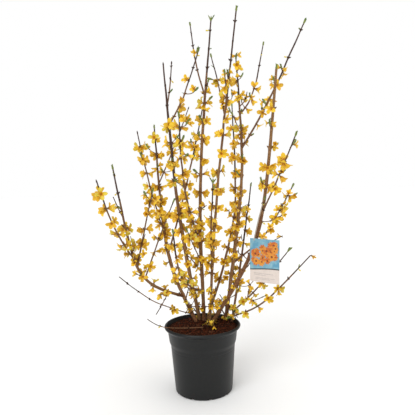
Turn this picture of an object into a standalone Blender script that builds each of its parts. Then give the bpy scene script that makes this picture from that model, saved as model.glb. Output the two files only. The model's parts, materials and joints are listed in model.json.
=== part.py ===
"""Forsythia shrub in a round nursery pot, in flower before its leaves.

Eight woody canes and a thin creeping twig stand on the potting soil. The canes carry bare lower wood, and
above it each goes on as a spray: a slim stem whose nodes bear four-lobed blossoms. Long side shoots are
sprays of their own, the stoutest with a bare bough under it, and short ones are fused to the spray they
grow from. A picture label hangs from the right-hand cane.

Metres, +Z up, +X to the viewer's right, +Y to the back. The origin is the centre of the pot's underside.
"""

import math
import random
from collections import namedtuple

import bmesh
import bpy
import numpy as np
from mathutils import Matrix, Vector
from mathutils.bvhtree import BVHTree

# Pot: turned, 24.7 cm across the lip
POT_HEIGHT = 0.214
LIP_RADIUS = 0.1235
LIP_DEPTH = 0.010
BAND_RADIUS = 0.1132
BAND_FOOT_RADIUS = 0.1086
BAND_FOOT_HEIGHT = 0.163
STEP_HEIGHT = 0.150
WALL_TOP_RADIUS = 0.104
FOOT_RADIUS = 0.0928
CORNER = 0.0015
WALL = 0.002
BASE_THICKNESS = 0.0025
TURN_STEPS = 40
DRAIN_SLOTS = 10
DRAIN_FIRST_DEG = 31.0
DRAIN_WIDTH = 0.010
DRAIN_HEIGHT = 0.006
DRAIN_REACH = 0.008

# Soil: fills the pot to just under its lip
SOIL_TOP = 0.206
SOIL_EDGE_DROP = 0.004
SOIL_FLAT_RADIUS = 0.109

CLEAR = 0.0003

# Canes and side shoots
KNEE_DEPTH_SHARE = 0.58
# A shoot's tip is the thicker the stouter it starts: a base and a share of its butt's radius, within limits.
# The right-hand cane was cut back, so its end is blunt.
TIP_BASE = 0.0008
TIP_SHARE_OF_BUTT = 0.33
TIP_LIMITS = (0.0011, 0.0020)
BLUNT_TIPS = {"right": 0.0033}
TAPER_POWER = 1.7
FLARE_LENGTH = 0.030
FLARE = 0.12
BOUGH_SIDES = 8
STEM_SIDES = 5
TWIG_SIDES = 3
RING_SPACING = 0.040
FUSED_LENGTH = 0.19
ROOT_SHARE = 0.75

# Blossom, as one closed solid whose root is sunk in its twig
CANE_INTERNODE = 0.056
TWIG_INTERNODE = 0.046
TUBE_SIDES = 3
TUBE_RADIUS = 0.0022
TUBE_HEIGHT = 0.0080
LOBE_RADIUS = 0.0145
NOTCH_RADIUS = 0.0055
LOBE_HEIGHT = 0.0205
NOTCH_HEIGHT = 0.0150
THROAT_HEIGHT = 0.0135
BLOSSOM_BALL_HEIGHT = 0.0140
BLOSSOM_BALL = 0.0155
TRIES = 4
LEAST_TURN = math.cos(math.radians(95))
BUD_LENGTH = 0.022
BUD_RADIUS = 0.0034
BUD_SUNK = 0.2

# Picture label
CARD_WIDTH = 0.098
CARD_HEIGHT = 0.130
CARD_THICKNESS = 0.0009
CARD_YAW_DEG = -36.0
CARD_LEAN_DEG = 1.5
CARD_CENTRE = Vector((0.191, -0.120, 0.4325))
STRAP_WIDTH = 0.005
STRAP_SHARE = 0.525
STRAP_CLEARANCE = 0.0006
STRAP_STEPS = 12
CARD_KEEP_OUT = 0.022

BARK_BROWN = (0.27, 0.13, 0.07, 1.0)
PETAL_YELLOW = (0.87, 0.55, 0.03, 1.0)
BUD_GREEN = (0.17, 0.22, 0.04, 1.0)
POT_BLACK = (0.020, 0.021, 0.021, 1.0)
SOIL_BROWN = (0.055, 0.022, 0.014, 1.0)
LABEL_WHITE = (0.78, 0.76, 0.76, 1.0)

# One line a shoot. A cane starts at foot (x, y) on the soil, a side shoot at a share of its parent's
# length. knee is the (x, z) that the shoot bends towards, tip its (x, y, z) end. butt is the radius at
# its start in millimetres, bare the share of a cane that is bare wood, bloom the stretch in flower, and
# flush the share of nodes there that bear blossom.
Shoot = namedtuple("Shoot", "parent start knee tip butt bare bloom flush")
PLAN = {
    "back_left": Shoot(None, (-0.022, 0.054), (-0.125, 0.397), (-0.155, 0.160, 0.885), 6.3, 0.20, (0.22, 1.0), 0.90),
    "left": Shoot(None, (-0.010, 0.070), (-0.066, 0.554), (-0.090, -0.130, 1.025), 6.3, 0.17, (0.19, 0.80), 0.90),
    "middle": Shoot(None, (0.005, 0.060), (-0.003, 0.646), (0.055, -0.030, 1.185), 6.3, 0.14, (0.16, 0.76), 0.85),
    "tallest": Shoot(None, (0.024, 0.040), (0.055, 0.640), (0.130, -0.090, 1.190), 4.6, 0.15, (0.17, 0.84), 0.90),
    "right_middle": Shoot(None, (0.078, 0.056), (0.160, 0.705), (0.140, 0.140, 1.115), 6.3, 0.15, (0.17, 0.97), 0.90),
    "right": Shoot(None, (0.028, 0.012), (0.194, 0.484), (0.235, -0.150, 1.000), 6.2, 0.55, (0.59, 0.95), 0.50),
    "back": Shoot(None, (0.016, 0.074), (0.140, 0.541), (0.130, 0.270, 0.975), 4.2, 0.16, (0.18, 1.0), 0.85),
    "low_right": Shoot(None, (0.098, 0.036), (0.148, 0.435), (0.190, 0.200, 0.670), 4.0, 0.15, (0.18, 0.80), 0.80),
    "thin_left": Shoot("back_left", 0.035, (-0.165, 0.285), (-0.260, -0.030, 0.380), 1.8, 0.0, (0.24, 0.32), 1.0),
    "creeping": Shoot(None, (0.002, -0.024), (-0.125, 0.2125), (-0.170, -0.060, 0.250), 1.5, 0.0, (0.0, 0.0), 0.0),
    "arch_left": Shoot("back_left", 0.13, (-0.205, 0.360), (-0.250, -0.120, 0.730), 5.0, 0.10, (0.14, 0.84), 0.95),
    "outer_left": Shoot("arch_left", 0.45, (-0.245, 0.530), (-0.280, -0.200, 0.690), 2.8, 0.0, (0.10, 0.92), 0.80),
    "arch_stub": Shoot("arch_left", 0.70, (-0.240, 0.600), (-0.250, -0.120, 0.635), 1.8, 0.0, (0.3, 0.9), 0.6),
    "inner_left": Shoot("arch_left", 0.40, (-0.170, 0.535), (-0.140, -0.040, 0.660), 2.8, 0.0, (0.12, 1.0), 1.0),
    "rear_left": Shoot("arch_left", 0.31, (-0.140, 0.485), (-0.085, 0.100, 0.620), 2.6, 0.0, (0.15, 0.9), 0.7),
    "left_whip": Shoot("arch_left", 0.12, (-0.123, 0.291), (-0.140, -0.080, 0.270), 1.5, 0.0, (0.0, 0.0), 0.0),
    "upper_left": Shoot("back_left", 0.44, (-0.165, 0.650), (-0.200, 0.050, 0.855), 2.8, 0.0, (0.12, 0.88), 0.85),
    "back_mid": Shoot("back_left", 0.70, (-0.100, 0.780), (-0.030, 0.250, 0.965), 2.4, 0.0, (0.15, 1.0), 0.90),
    "back_right": Shoot("back_left", 0.35, (-0.045, 0.660), (0.045, 0.190, 1.050), 3.2, 0.0, (0.25, 0.84), 0.70),
    "left_fork": Shoot("left", 0.85, (-0.075, 0.965), (-0.070, -0.050, 1.050), 2.2, 0.0, (0.0, 0.0), 0.0),
    "left_arm": Shoot("left", 0.78, (-0.035, 0.935), (0.015, 0.000, 1.100), 2.6, 0.0, (0.12, 0.62), 0.7),
    "middle_fork": Shoot("middle", 0.75, (0.000, 1.060), (-0.015, 0.080, 1.210), 2.6, 0.0, (0.05, 0.25), 0.6),
    "front_left": Shoot("middle", 0.26, (-0.045, 0.650), (-0.045, -0.200, 0.865), 3.2, 0.0, (0.12, 1.0), 0.95),
    "low_front": Shoot("middle", 0.21, (-0.020, 0.470), (-0.040, -0.090, 0.535), 2.0, 0.0, (0.2, 0.9), 0.7),
    "middle_spur": Shoot("middle", 0.17, (-0.030, 0.430), (-0.048, -0.062, 0.455), 1.8, 0.0, (0.3, 1.0), 0.8),
    "low_arch": Shoot("middle", 0.10, (-0.065, 0.375), (-0.070, -0.220, 0.545), 3.2, 0.0, (0.12, 1.0), 1.0),
    "tall_fork": Shoot("tallest", 0.71, (0.090, 0.955), (0.085, -0.170, 0.985), 2.0, 0.0, (0.2, 1.0), 1.0),
    "tall_left": Shoot("tallest", 0.68, (0.070, 0.995), (0.050, 0.030, 1.090), 2.2, 0.0, (0.35, 0.95), 0.7),
    "front_right": Shoot("tallest", 0.16, (0.035, 0.520), (0.045, -0.170, 0.680), 2.8, 0.0, (0.15, 0.75), 0.9),
    "right_arm": Shoot("right_middle", 0.77, (0.205, 0.980), (0.250, 0.220, 1.185), 2.8, 0.0, (0.12, 0.5), 0.9),
    "right_stub": Shoot("right_middle", 0.80, (0.170, 0.950), (0.172, 0.090, 0.975), 2.0, 0.0, (0.0, 0.0), 0.0),
    "right_spray": Shoot("right_middle", 0.68, (0.145, 0.865), (0.125, 0.210, 0.930), 2.0, 0.0, (0.2, 1.0), 1.0),
    "far_right": Shoot("right_middle", 0.64, (0.235, 0.920), (0.355, 0.000, 1.180), 3.4, 0.0, (0.12, 0.70), 0.85),
    "arm_twig": Shoot("far_right", 0.28, (0.215, 0.905), (0.215, 0.040, 0.925), 1.4, 0.0, (0.0, 0.0), 0.0),
    "label_twig": Shoot("right_middle", 0.21, (0.230, 0.475), (0.340, 0.170, 0.660), 3.0, 0.0, (0.25, 1.0), 0.9),
    "label_bud": Shoot("label_twig", 0.35, (0.240, 0.465), (0.270, 0.020, 0.490), 1.5, 0.0, (0.9, 1.0), 1.0),
    "outer_right": Shoot("right", 0.49, (0.235, 0.695), (0.265, -0.270, 0.795), 2.4, 0.0, (0.2, 1.0), 0.8),
    "low_sweep": Shoot("low_right", 0.035, (0.192, 0.260), (0.349, -0.030, 0.431), 2.8, 0.0, (0.15, 0.62), 0.9),
    "low_mid": Shoot("low_right", 0.075, (0.178, 0.297), (0.303, 0.060, 0.444), 2.6, 0.0, (0.15, 0.5), 0.8),
    "rim_tuft": Shoot("low_right", 0.055, (0.104, 0.240), (0.106, -0.040, 0.240), 1.6, 0.0, (0.35, 1.0), 1.0),
    "low_twig": Shoot("low_mid", 0.20, (0.168, 0.280), (0.208, -0.030, 0.309), 1.4, 0.0, (0.4, 0.8), 0.5),
}


def material(name, colour, roughness, metallic=0.0):
    """A Principled BSDF in one colour."""
    made = bpy.data.materials.new(name)
    made.use_nodes = True
    made.diffuse_color = colour
    shader = made.node_tree.nodes["Principled BSDF"]
    shader.inputs["Base Color"].default_value = colour
    shader.inputs["Roughness"].default_value = roughness
    shader.inputs["Metallic"].default_value = metallic
    return made


def add_object(name, points, faces, *materials, slot=0):
    """A mesh object from points and faces, all faces in one of its material slots."""
    mesh = bpy.data.meshes.new(name)
    mesh.from_pydata([tuple(p) for p in points], [], faces)
    for each in materials:
        mesh.materials.append(each)
    mesh.polygons.foreach_set("material_index", [slot] * len(mesh.polygons))
    mesh.update()
    made = bpy.data.objects.new(name, mesh)
    bpy.context.scene.collection.objects.link(made)
    return made


def recalculated(obj):
    """Turns every face of a closed mesh outwards."""
    shell = bmesh.new()
    shell.from_mesh(obj.data)
    bmesh.ops.recalc_face_normals(shell, faces=shell.faces)
    shell.to_mesh(obj.data)
    shell.free()
    return obj


def turned(name, profile, steps, surface):
    """A solid of revolution from (radius, height) points that start and end on the axis."""
    points = []
    rings = []
    for radius, height in profile:
        count = steps if radius > 0 else 1
        rings.append(range(len(points), len(points) + count))
        for k in range(count):
            angle = 2 * math.pi * k / steps
            points.append((radius * math.cos(angle), radius * math.sin(angle), height))
    faces = []
    for low, high in zip(rings, rings[1:]):
        for k in range(steps):
            near, far = k, (k + 1) % steps
            corners = [low[near % len(low)], low[far % len(low)], high[far % len(high)], high[near % len(high)]]
            faces.append(list(dict.fromkeys(corners)))
    obj = recalculated(add_object(name, points, faces, surface))
    obj.data.shade_smooth()
    obj.data.set_sharp_from_angle(angle=math.radians(35))
    return obj


def joined(base, others, name):
    """Fuses the other solids into base with one Boolean union, then removes them."""
    if others:
        group = bpy.data.collections.new(name + "_parts")
        bpy.context.scene.collection.children.link(group)
        for other in others:
            bpy.context.scene.collection.objects.unlink(other)
            group.objects.link(other)
        union = base.modifiers.new("fuse", "BOOLEAN")
        union.operation = "UNION"
        union.operand_type = "COLLECTION"
        union.collection = group
        union.solver = "MANIFOLD"
        with bpy.context.temp_override(object=base, active_object=base):
            bpy.ops.object.modifier_apply(modifier=union.name)
        for other in others:
            bpy.data.objects.remove(other)
        bpy.data.collections.remove(group)
    base.name = name
    base.data.name = name
    return base


# The pot

def outer_profile():
    """The pot's outer side from its flat underside up to the top of its lip, as (radius, height)."""
    return [
        (FOOT_RADIUS - CORNER, 0.0),
        (FOOT_RADIUS, CORNER),
        (WALL_TOP_RADIUS, STEP_HEIGHT),
        (BAND_FOOT_RADIUS, BAND_FOOT_HEIGHT),
        (BAND_RADIUS, POT_HEIGHT - LIP_DEPTH - 0.006),
        (LIP_RADIUS - 0.002, POT_HEIGHT - LIP_DEPTH),
        (LIP_RADIUS, POT_HEIGHT - LIP_DEPTH + 0.004),
        (LIP_RADIUS, POT_HEIGHT - 0.003),
        (LIP_RADIUS - 0.003, POT_HEIGHT),
    ]


def inner_profile():
    """The pot's inner side from the top of its lip down to its floor, a wall's thickness inside."""
    return [
        (LIP_RADIUS - 0.0065, POT_HEIGHT - 0.001),
        (BAND_RADIUS - WALL, POT_HEIGHT - LIP_DEPTH - 0.006),
        (BAND_FOOT_RADIUS - WALL, BAND_FOOT_HEIGHT),
        (WALL_TOP_RADIUS - WALL, STEP_HEIGHT),
        (FOOT_RADIUS - WALL, BASE_THICKNESS),
    ]


def make_pot(plastic):
    """The turned pot, with drain slots cut through its bottom corner."""
    profile = [(0.0, 0.0), *outer_profile(), *inner_profile(), (0.0, BASE_THICKNESS)]
    pot = turned("pot", profile, TURN_STEPS, plastic)
    for k in range(DRAIN_SLOTS):
        angle = math.radians(DRAIN_FIRST_DEG + 360 / DRAIN_SLOTS * k)
        bpy.ops.mesh.primitive_cube_add(size=1)
        cutter = bpy.context.active_object
        cutter.scale = (2 * DRAIN_REACH, DRAIN_WIDTH, 2 * DRAIN_HEIGHT)
        cutter.rotation_euler = (0, 0, angle)
        cutter.location = (FOOT_RADIUS * math.cos(angle), FOOT_RADIUS * math.sin(angle), 0)
        cut = pot.modifiers.new("drain slot", "BOOLEAN")
        cut.operation = "DIFFERENCE"
        cut.object = cutter
        with bpy.context.temp_override(object=pot, active_object=pot):
            bpy.ops.object.modifier_apply(modifier=cut.name)
        bpy.data.objects.remove(cutter)
    return pot


def soil_radius(height):
    """The radius of the inner wall at a height, less the clearance."""
    heights = [z for r, z in reversed(inner_profile())]
    radii = [r for r, z in reversed(inner_profile())]
    return float(np.interp(height, heights, radii)) - CLEAR


def make_soil(earth):
    """The potting soil: it fills the pot and is flat where the canes stand."""
    floor = BASE_THICKNESS + CLEAR
    edge = SOIL_TOP - SOIL_EDGE_DROP
    levels = [floor, STEP_HEIGHT, BAND_FOOT_HEIGHT, POT_HEIGHT - LIP_DEPTH - 0.006, edge]
    profile = [(0.0, floor)]
    profile += [(soil_radius(z), z) for z in levels]
    profile += [(SOIL_FLAT_RADIUS, SOIL_TOP), (0.0, SOIL_TOP)]
    return turned("soil", profile, TURN_STEPS, earth)


# The wood

def bend(start, knee, tip, t):
    """A cubic curve that leaves start towards knee and comes to tip from knee."""
    t = np.asarray(t)[..., None]
    return (1 - t) ** 3 * start + 3 * t * (1 - t) * knee + t**3 * tip


class Limb:
    """A shoot's centre line at even steps, with the radius there."""

    def __init__(self, name, row, start, extra_shares=()):
        tip = np.array(row.tip)
        depth = start[1] + KNEE_DEPTH_SHARE * (tip[1] - start[1])
        knee = np.array((row.knee[0], depth, row.knee[1]))
        fine = bend(start, knee, tip, np.linspace(0, 1, 400))
        run = np.concatenate(([0], np.cumsum(np.linalg.norm(np.diff(fine, axis=0), axis=1))))
        self.name = name
        self.row = row
        self.length = run[-1]
        self.fine = fine
        self.share_of_fine = run / run[-1]
        count = max(3, round(self.length / RING_SPACING))
        shares = np.union1d(np.linspace(0, 1, count + 1), np.array(extra_shares, float))
        keep = [0.0]
        for share in shares[1:]:
            near_extra = min((abs(share - e) for e in extra_shares), default=1.0)
            if share in extra_shares or share == 1.0 or near_extra * self.length > RING_SPACING / 3:
                keep.append(float(share))
        self.shares = np.array(keep)
        self.stem_end = 1 - (1 - BUD_SUNK) * BUD_LENGTH / self.length
        self.points = self.at(self.shares)
        self.radii = self.radius(self.shares)

    def at(self, share):
        return np.stack([np.interp(share, self.share_of_fine, self.fine[:, k]) for k in range(3)], axis=-1)

    def on_chord(self, share):
        """The point on the straight run between two rings, so that what grows there starts inside."""
        return np.array([np.interp(share, self.shares, self.points[:, k]) for k in range(3)])

    def tangent(self, share):
        step = 0.004
        way = self.at(min(1.0, share + step)) - self.at(max(0.0, share - step))
        return way / np.linalg.norm(way)

    def radius(self, share):
        """The butt's radius thins to the tip's, and a cane flares where it meets the soil."""
        share = np.asarray(share)
        butt = self.row.butt / 1000
        tip = BLUNT_TIPS.get(self.name, min(TIP_LIMITS[1], max(TIP_LIMITS[0], TIP_BASE + TIP_SHARE_OF_BUTT * butt)))
        radius = tip + (butt - tip) * (1 - share**TAPER_POWER)
        if self.row.parent is None and butt > 0.003:
            radius = radius * (1 + FLARE * np.exp(-share * self.length / FLARE_LENGTH * 2))
        return radius


def frames(tangents, first_up=(0.31, 0.95, 0.05)):
    """Two cross directions for each tangent, carried along the line without twisting."""
    side = np.cross(tangents[0], first_up)
    result = []
    for tangent in tangents:
        side = side - tangent * side.dot(tangent)
        side /= np.linalg.norm(side)
        result.append((side, np.cross(tangent, side)))
    return result


def rings(points, tangents, radii, sides):
    """The corners of each ring of a limb, as an array of rings by sides by 3."""
    turn = 2 * math.pi * np.arange(sides) / sides
    across, over = (np.array(ways)[:, None] for ways in zip(*frames(tangents)))
    out = np.cos(turn)[None, :, None] * across + np.sin(turn)[None, :, None] * over
    return np.array(points)[:, None] + np.array(radii)[:, None, None] * out


def tube(name, points, tangents, radii, sides, surfaces, slot):
    """A tapering limb with flat ends."""
    corners = rings(points, tangents, radii, sides).reshape(-1, 3)
    faces = [list(range(sides))[::-1], [len(corners) - sides + j for j in range(sides)]]
    for k in range(len(points) - 1):
        for j in range(sides):
            low, high = k * sides, (k + 1) * sides
            faces.append([low + j, low + (j + 1) % sides, high + (j + 1) % sides, high + j])
    made = recalculated(add_object(name, corners, faces, *surfaces, slot=slot))
    made.data.shade_smooth()
    made.data.set_sharp_from_angle(angle=math.radians(50))
    return made


def limb_tube(name, limb, shares, radii, sides, surfaces, level=False):
    """A tube along a limb, with a ring at each of the shares. A cane's foot is level with the soil."""
    tangents = [limb.tangent(share) for share in shares]
    if level:
        tangents[0] = np.array((0.0, 0.0, 1.0))
    return tube(name, limb.at(shares), tangents, radii, sides, surfaces, 0)


def distance_to_line(point, points):
    """The least distance from a point to a chain of segments, and the share of the nearest one."""
    start, way = points[:-1], np.diff(points, axis=0)
    along = np.clip(((point - start) * way).sum(1) / (way * way).sum(1), 0, 1)
    gaps = np.linalg.norm(point - start - along[:, None] * way, axis=1)
    return float(gaps.min()), int(gaps.argmin())


def grow_limbs():
    """Every shoot's limb, parents first, with rings where its bare wood ends and where it forks."""
    limbs = {}
    for name, row in PLAN.items():
        if row.parent is None:
            start = np.array((*row.start, SOIL_TOP + CLEAR))
            if name == "creeping":
                start[2] += row.butt / 1000
        else:
            start = limbs[row.parent].at(row.start)
        forks = [other.start for other in PLAN.values() if other.parent == name]
        limbs[name] = Limb(name, row, start, forks + [row.bare] * (row.bare > 0))
    return limbs


def is_fused(limb, limbs):
    """Whether a side shoot is short and grows from the flowering part of its parent."""
    row = limb.row
    return row.parent is not None and limb.length < FUSED_LENGTH and row.start > limbs[row.parent].row.bare


def spray_of(name, limbs):
    """The spray that a shoot belongs to: its own, or that of the shoot it is fused to."""
    while is_fused(limbs[name], limbs):
        name = limbs[name].row.parent
    return name


def skin_of(obj):
    """An object's faces, to measure distances from."""
    mesh = obj.data
    return BVHTree.FromPolygons([v.co for v in mesh.vertices], [tuple(p.vertices) for p in mesh.polygons])


def gap_to(skins, limb, share, sides):
    """The least distance from a shoot that is cut off at this share to its parent's faces."""
    following = limb.shares[limb.shares > share + 0.02][0]
    pair = np.array((share, following))
    near, far = rings(limb.at(pair), [limb.tangent(s) for s in pair], limb.radius(pair), sides)
    samples = [near + (np.roll(near, 1, axis=0) - near) * w for w in (0.25, 0.5, 0.75)]
    samples += [near + (far - near) * w for w in (0.0, 0.02, 0.05, 0.1, 0.2, 0.5)]
    return min(skin.find_nearest(Vector(p))[3] for skin in skins for p in np.concatenate(samples))


def clear_start(limb, parent, skins, sides):
    """The share at which a side shoot's cut end comes as near its parent as the clearance allows."""
    step = 0.0001 / limb.length
    share = 0.0
    while True:
        gap, segment = distance_to_line(limb.at(share), parent.points)
        if gap > parent.radii[segment : segment + 2].max() + float(limb.radius(share)) + CLEAR:
            break
        share += step
    while gap_to(skins, limb, share - step, sides) > CLEAR:
        share -= step
    return share


# The blossom

def blossom_sites(limb):
    """The shares of a shoot's length at which its flowering nodes stand, and their order."""
    first, last = limb.row.bloom
    spacing = CANE_INTERNODE if limb.row.butt > 4.0 else TWIG_INTERNODE
    last = min(last, limb.stem_end)
    count = int((last - first) * limb.length / spacing + 1e-6) + 1 if last > first else 0
    return [(k, first + k * spacing / limb.length) for k in range(count)]


def blossom_way(limb, share, order, side, rng):
    """The way a blossom faces: out from its side of the node, a little up or down the shoot."""
    tangent = limb.tangent(share)
    across = np.cross(tangent, (0.0, 0.0, 1.0) if abs(tangent[2]) < 0.9 else (0.0, 1.0, 0.0))
    across /= np.linalg.norm(across)
    other = np.cross(tangent, across)
    turn = math.radians(90 * (order % 2) + 180 * side + rng.uniform(-55, 55))
    lift = math.radians(rng.uniform(-30, 35))
    out = math.cos(turn) * across + math.sin(turn) * other
    return math.cos(lift) * out + math.sin(lift) * tangent


def blossom_solid(name, root, way, size, spin, surfaces):
    """A closed blossom: a narrow tube from its root, four lobes with notches between them, the throat."""
    points = [(0, 0, 0), (0, 0, THROAT_HEIGHT)]
    for k in range(TUBE_SIDES):
        angle = 2 * math.pi / TUBE_SIDES * k + spin
        points.append((TUBE_RADIUS * math.cos(angle), TUBE_RADIUS * math.sin(angle), TUBE_HEIGHT))
    for k in range(8):
        angle = math.pi / 4 * k + spin
        radius, height = (NOTCH_RADIUS, NOTCH_HEIGHT) if k % 2 else (LOBE_RADIUS, LOBE_HEIGHT)
        points.append((radius * math.cos(angle), radius * math.sin(angle), height))
    faces = [(0, 2 + (k + 1) % TUBE_SIDES, 2 + k) for k in range(TUBE_SIDES)]
    rim = 2 + TUBE_SIDES
    for k in range(8):
        here, there = rim + k, rim + (k + 1) % 8
        near, far = (2 + round(n * TUBE_SIDES / 8) % TUBE_SIDES for n in (k, k + 1))
        faces.append((1, here, there))
        faces.append((near, there, here))
        if near != far:
            faces.append((near, far, there))
    place = Matrix.Translation(Vector(root)) @ Vector(way).to_track_quat("Z", "Y").to_matrix().to_4x4()
    points = [place @ (Vector(p) * size) for p in points]
    return add_object(name, points, faces, *surfaces, slot=1)


def tip_bud(name, limb, surfaces):
    """The pointed bud that ends a shoot, as a three-sided spindle sunk over the tip."""
    foot = limb.at(limb.stem_end)
    tangent = limb.tangent(limb.stem_end)
    points = [foot + tangent * BUD_LENGTH * share for share in (-BUD_SUNK, 0.3, 1 - BUD_SUNK)]
    radii = (float(limb.radius(limb.stem_end)) * 0.7, BUD_RADIUS, 0.0004)
    return tube(name, points, [tangent] * 3, radii, 3, surfaces, 2)


class Room:
    """What already stands where, so that a blossom can be left out where it would touch another spray."""

    def __init__(self, limbs):
        self.starts = np.concatenate([limb.points[:-1] for limb in limbs.values()])
        self.ways = np.concatenate([np.diff(limb.points, axis=0) for limb in limbs.values()])
        self.radii = np.concatenate([np.maximum(limb.radii[:-1], limb.radii[1:]) for limb in limbs.values()])
        self.owners = np.concatenate([[spray_of(n, limbs)] * (len(limb.points) - 1) for n, limb in limbs.items()])
        self.boughs = np.concatenate([limb.shares[:-1] < limb.row.bare for limb in limbs.values()])
        self.strap = limbs["right"].at(STRAP_SHARE)
        self.centres = []
        self.centre_owners = []

    def is_free(self, centre, ball, owner):
        along = ((centre - self.starts) * self.ways).sum(1) / (self.ways * self.ways).sum(1)
        nearest = self.starts + np.clip(along, 0, 1)[:, None] * self.ways
        gaps = np.linalg.norm(centre - nearest, axis=1) - self.radii
        foreign = (self.owners != owner) | self.boughs
        if (gaps[foreign] < ball + CLEAR).any():
            return False
        for other, its_owner in zip(self.centres, self.centre_owners):
            if its_owner != owner and np.linalg.norm(centre - other) < 2 * ball + CLEAR:
                return False
        if centre[2] < SOIL_TOP + ball or (centre[2] < POT_HEIGHT + ball and np.hypot(*centre[:2]) > 0.08):
            return False
        out_of_card = np.abs(card_turn().transposed() @ (Vector(centre) - CARD_CENTRE))
        reach = (CARD_WIDTH / 2 + CARD_KEEP_OUT, CARD_KEEP_OUT, CARD_HEIGHT / 2 + CARD_KEEP_OUT)
        if (out_of_card < np.array(reach)).all():
            return False
        return np.linalg.norm(centre - self.strap) > ball + 0.015


def place_blossoms(limbs, room):
    """Blossoms for every spray, worked out before any is built: (root, way, size, spin) lists."""
    placed = {name: [] for name in limbs}
    for name, limb in limbs.items():
        owner = spray_of(name, limbs)
        for order, share in blossom_sites(limb):
            rng = random.Random(f"{name} node {order}")
            flush = rng.random() < limb.row.flush
            count = rng.choice((2, 2, 3)) if limb.row.butt > 4.0 else rng.choice((1, 2, 2))
            here = []
            for k in range(count):
                size = rng.uniform(0.9, 1.12)
                spin = rng.uniform(0, math.pi / 2)
                for _ in range(TRIES):
                    way = blossom_way(limb, share, order, k % 2, rng)
                    root = limb.on_chord(share)
                    centre = root + way * BLOSSOM_BALL_HEIGHT * size
                    apart = all(way.dot(other) < LEAST_TURN for other in here)
                    if flush and apart and room.is_free(centre, BLOSSOM_BALL * size, owner):
                        placed[name].append((root, way, size, spin))
                        here.append(way)
                        room.centres.append(centre)
                        room.centre_owners.append(owner)
                        break
    return placed


def make_wood_and_sprays(bark, petal, bud):
    """All boughs and sprays. A spray starts where its cane's bare wood ends, or clear of its parent."""
    limbs = grow_limbs()
    placed = place_blossoms(limbs, Room(limbs))
    print(sum(len(one) for one in placed.values()), "blossoms")
    pieces = {}
    skins = {name: [] for name in limbs}
    surfaces = (bark, petal, bud)
    for name, limb in limbs.items():
        row = limb.row
        fused = is_fused(limb, limbs)
        sides = STEM_SIDES if row.butt > 4.0 else TWIG_SIDES
        first = 0.0
        if row.parent and not fused:
            first = clear_start(limb, limbs[row.parent], skins[row.parent], BOUGH_SIDES if row.bare else sides)
        if row.bare:
            gap = CLEAR / 2 / limb.length
            kept = (limb.shares > first) & (limb.shares < row.bare)
            shares = np.concatenate(([first], limb.shares[kept], [row.bare - gap]))
            level = row.parent is None
            bough = limb_tube("cane_" + name, limb, shares, limb.radius(shares), BOUGH_SIDES, (bark,), level)
            skins[name].append(skin_of(bough))
            first = row.bare + gap
        step = 0.006 / limb.length
        kept = (limb.shares > first + step) & (limb.shares < limb.stem_end - step)
        shares = np.concatenate(([first], limb.shares[kept], [limb.stem_end]))
        radii = limb.radius(shares)
        if fused:
            radii[0] *= ROOT_SHARE
        stem = limb_tube(name, limb, shares, radii, sides, surfaces)
        skins[name].append(skin_of(stem))
        parts = [blossom_solid(name, *one, surfaces) for one in placed[name]]
        parts.append(tip_bud(name, limb, surfaces))
        pieces[name] = (stem, parts)
    for name in limbs:
        owner = spray_of(name, limbs)
        if owner != name:
            stem, parts = pieces.pop(name)
            pieces[owner][1].extend([stem, *parts])
    for name, (stem, parts) in pieces.items():
        joined(stem, parts, "spray_" + name)
    return limbs


# The label

def card_turn():
    """The card's directions: its width, depth and height, turned about the vertical, its top leaning right."""
    lean = Matrix.Rotation(math.radians(CARD_LEAN_DEG), 3, "Y")
    return Matrix.Rotation(math.radians(CARD_YAW_DEG), 3, "Z") @ lean


def box_between(name, low, high, turn, centre, surface):
    """A box with opposite corners low and high, turned, then moved to centre."""
    points = [
        Vector(centre) + turn @ Vector((x, y, z))
        for x in (low[0], high[0])
        for y in (low[1], high[1])
        for z in (low[2], high[2])
    ]
    faces = [(0, 1, 3, 2), (4, 6, 7, 5), (0, 4, 5, 1), (2, 3, 7, 6), (0, 2, 6, 4), (1, 5, 7, 3)]
    return recalculated(add_object(name, points, faces, surface))


def strap_ring(limb, surface):
    """The strap's loop: a short band round the cane, clear of it."""
    centre = limb.at(STRAP_SHARE)
    tangent = Vector(limb.tangent(STRAP_SHARE))
    inner = float(limb.radius(STRAP_SHARE)) + STRAP_CLEARANCE
    outer = inner + CARD_THICKNESS
    turn = tangent.to_track_quat("Z", "Y").to_matrix()
    points = []
    for radius, height in ((inner, -1), (outer, -1), (outer, 1), (inner, 1)):
        for k in range(STRAP_STEPS):
            angle = 2 * math.pi * k / STRAP_STEPS
            spot = Vector((radius * math.cos(angle), radius * math.sin(angle), height * STRAP_WIDTH / 2))
            points.append(Vector(centre) + turn @ spot)
    faces = []
    for band in range(4):
        for k in range(STRAP_STEPS):
            here, there = band * STRAP_STEPS, (band + 1) % 4 * STRAP_STEPS
            step = (k + 1) % STRAP_STEPS
            faces.append((here + k, here + step, there + step, there + k))
    return recalculated(add_object("ring", points, faces, surface)), outer


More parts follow.
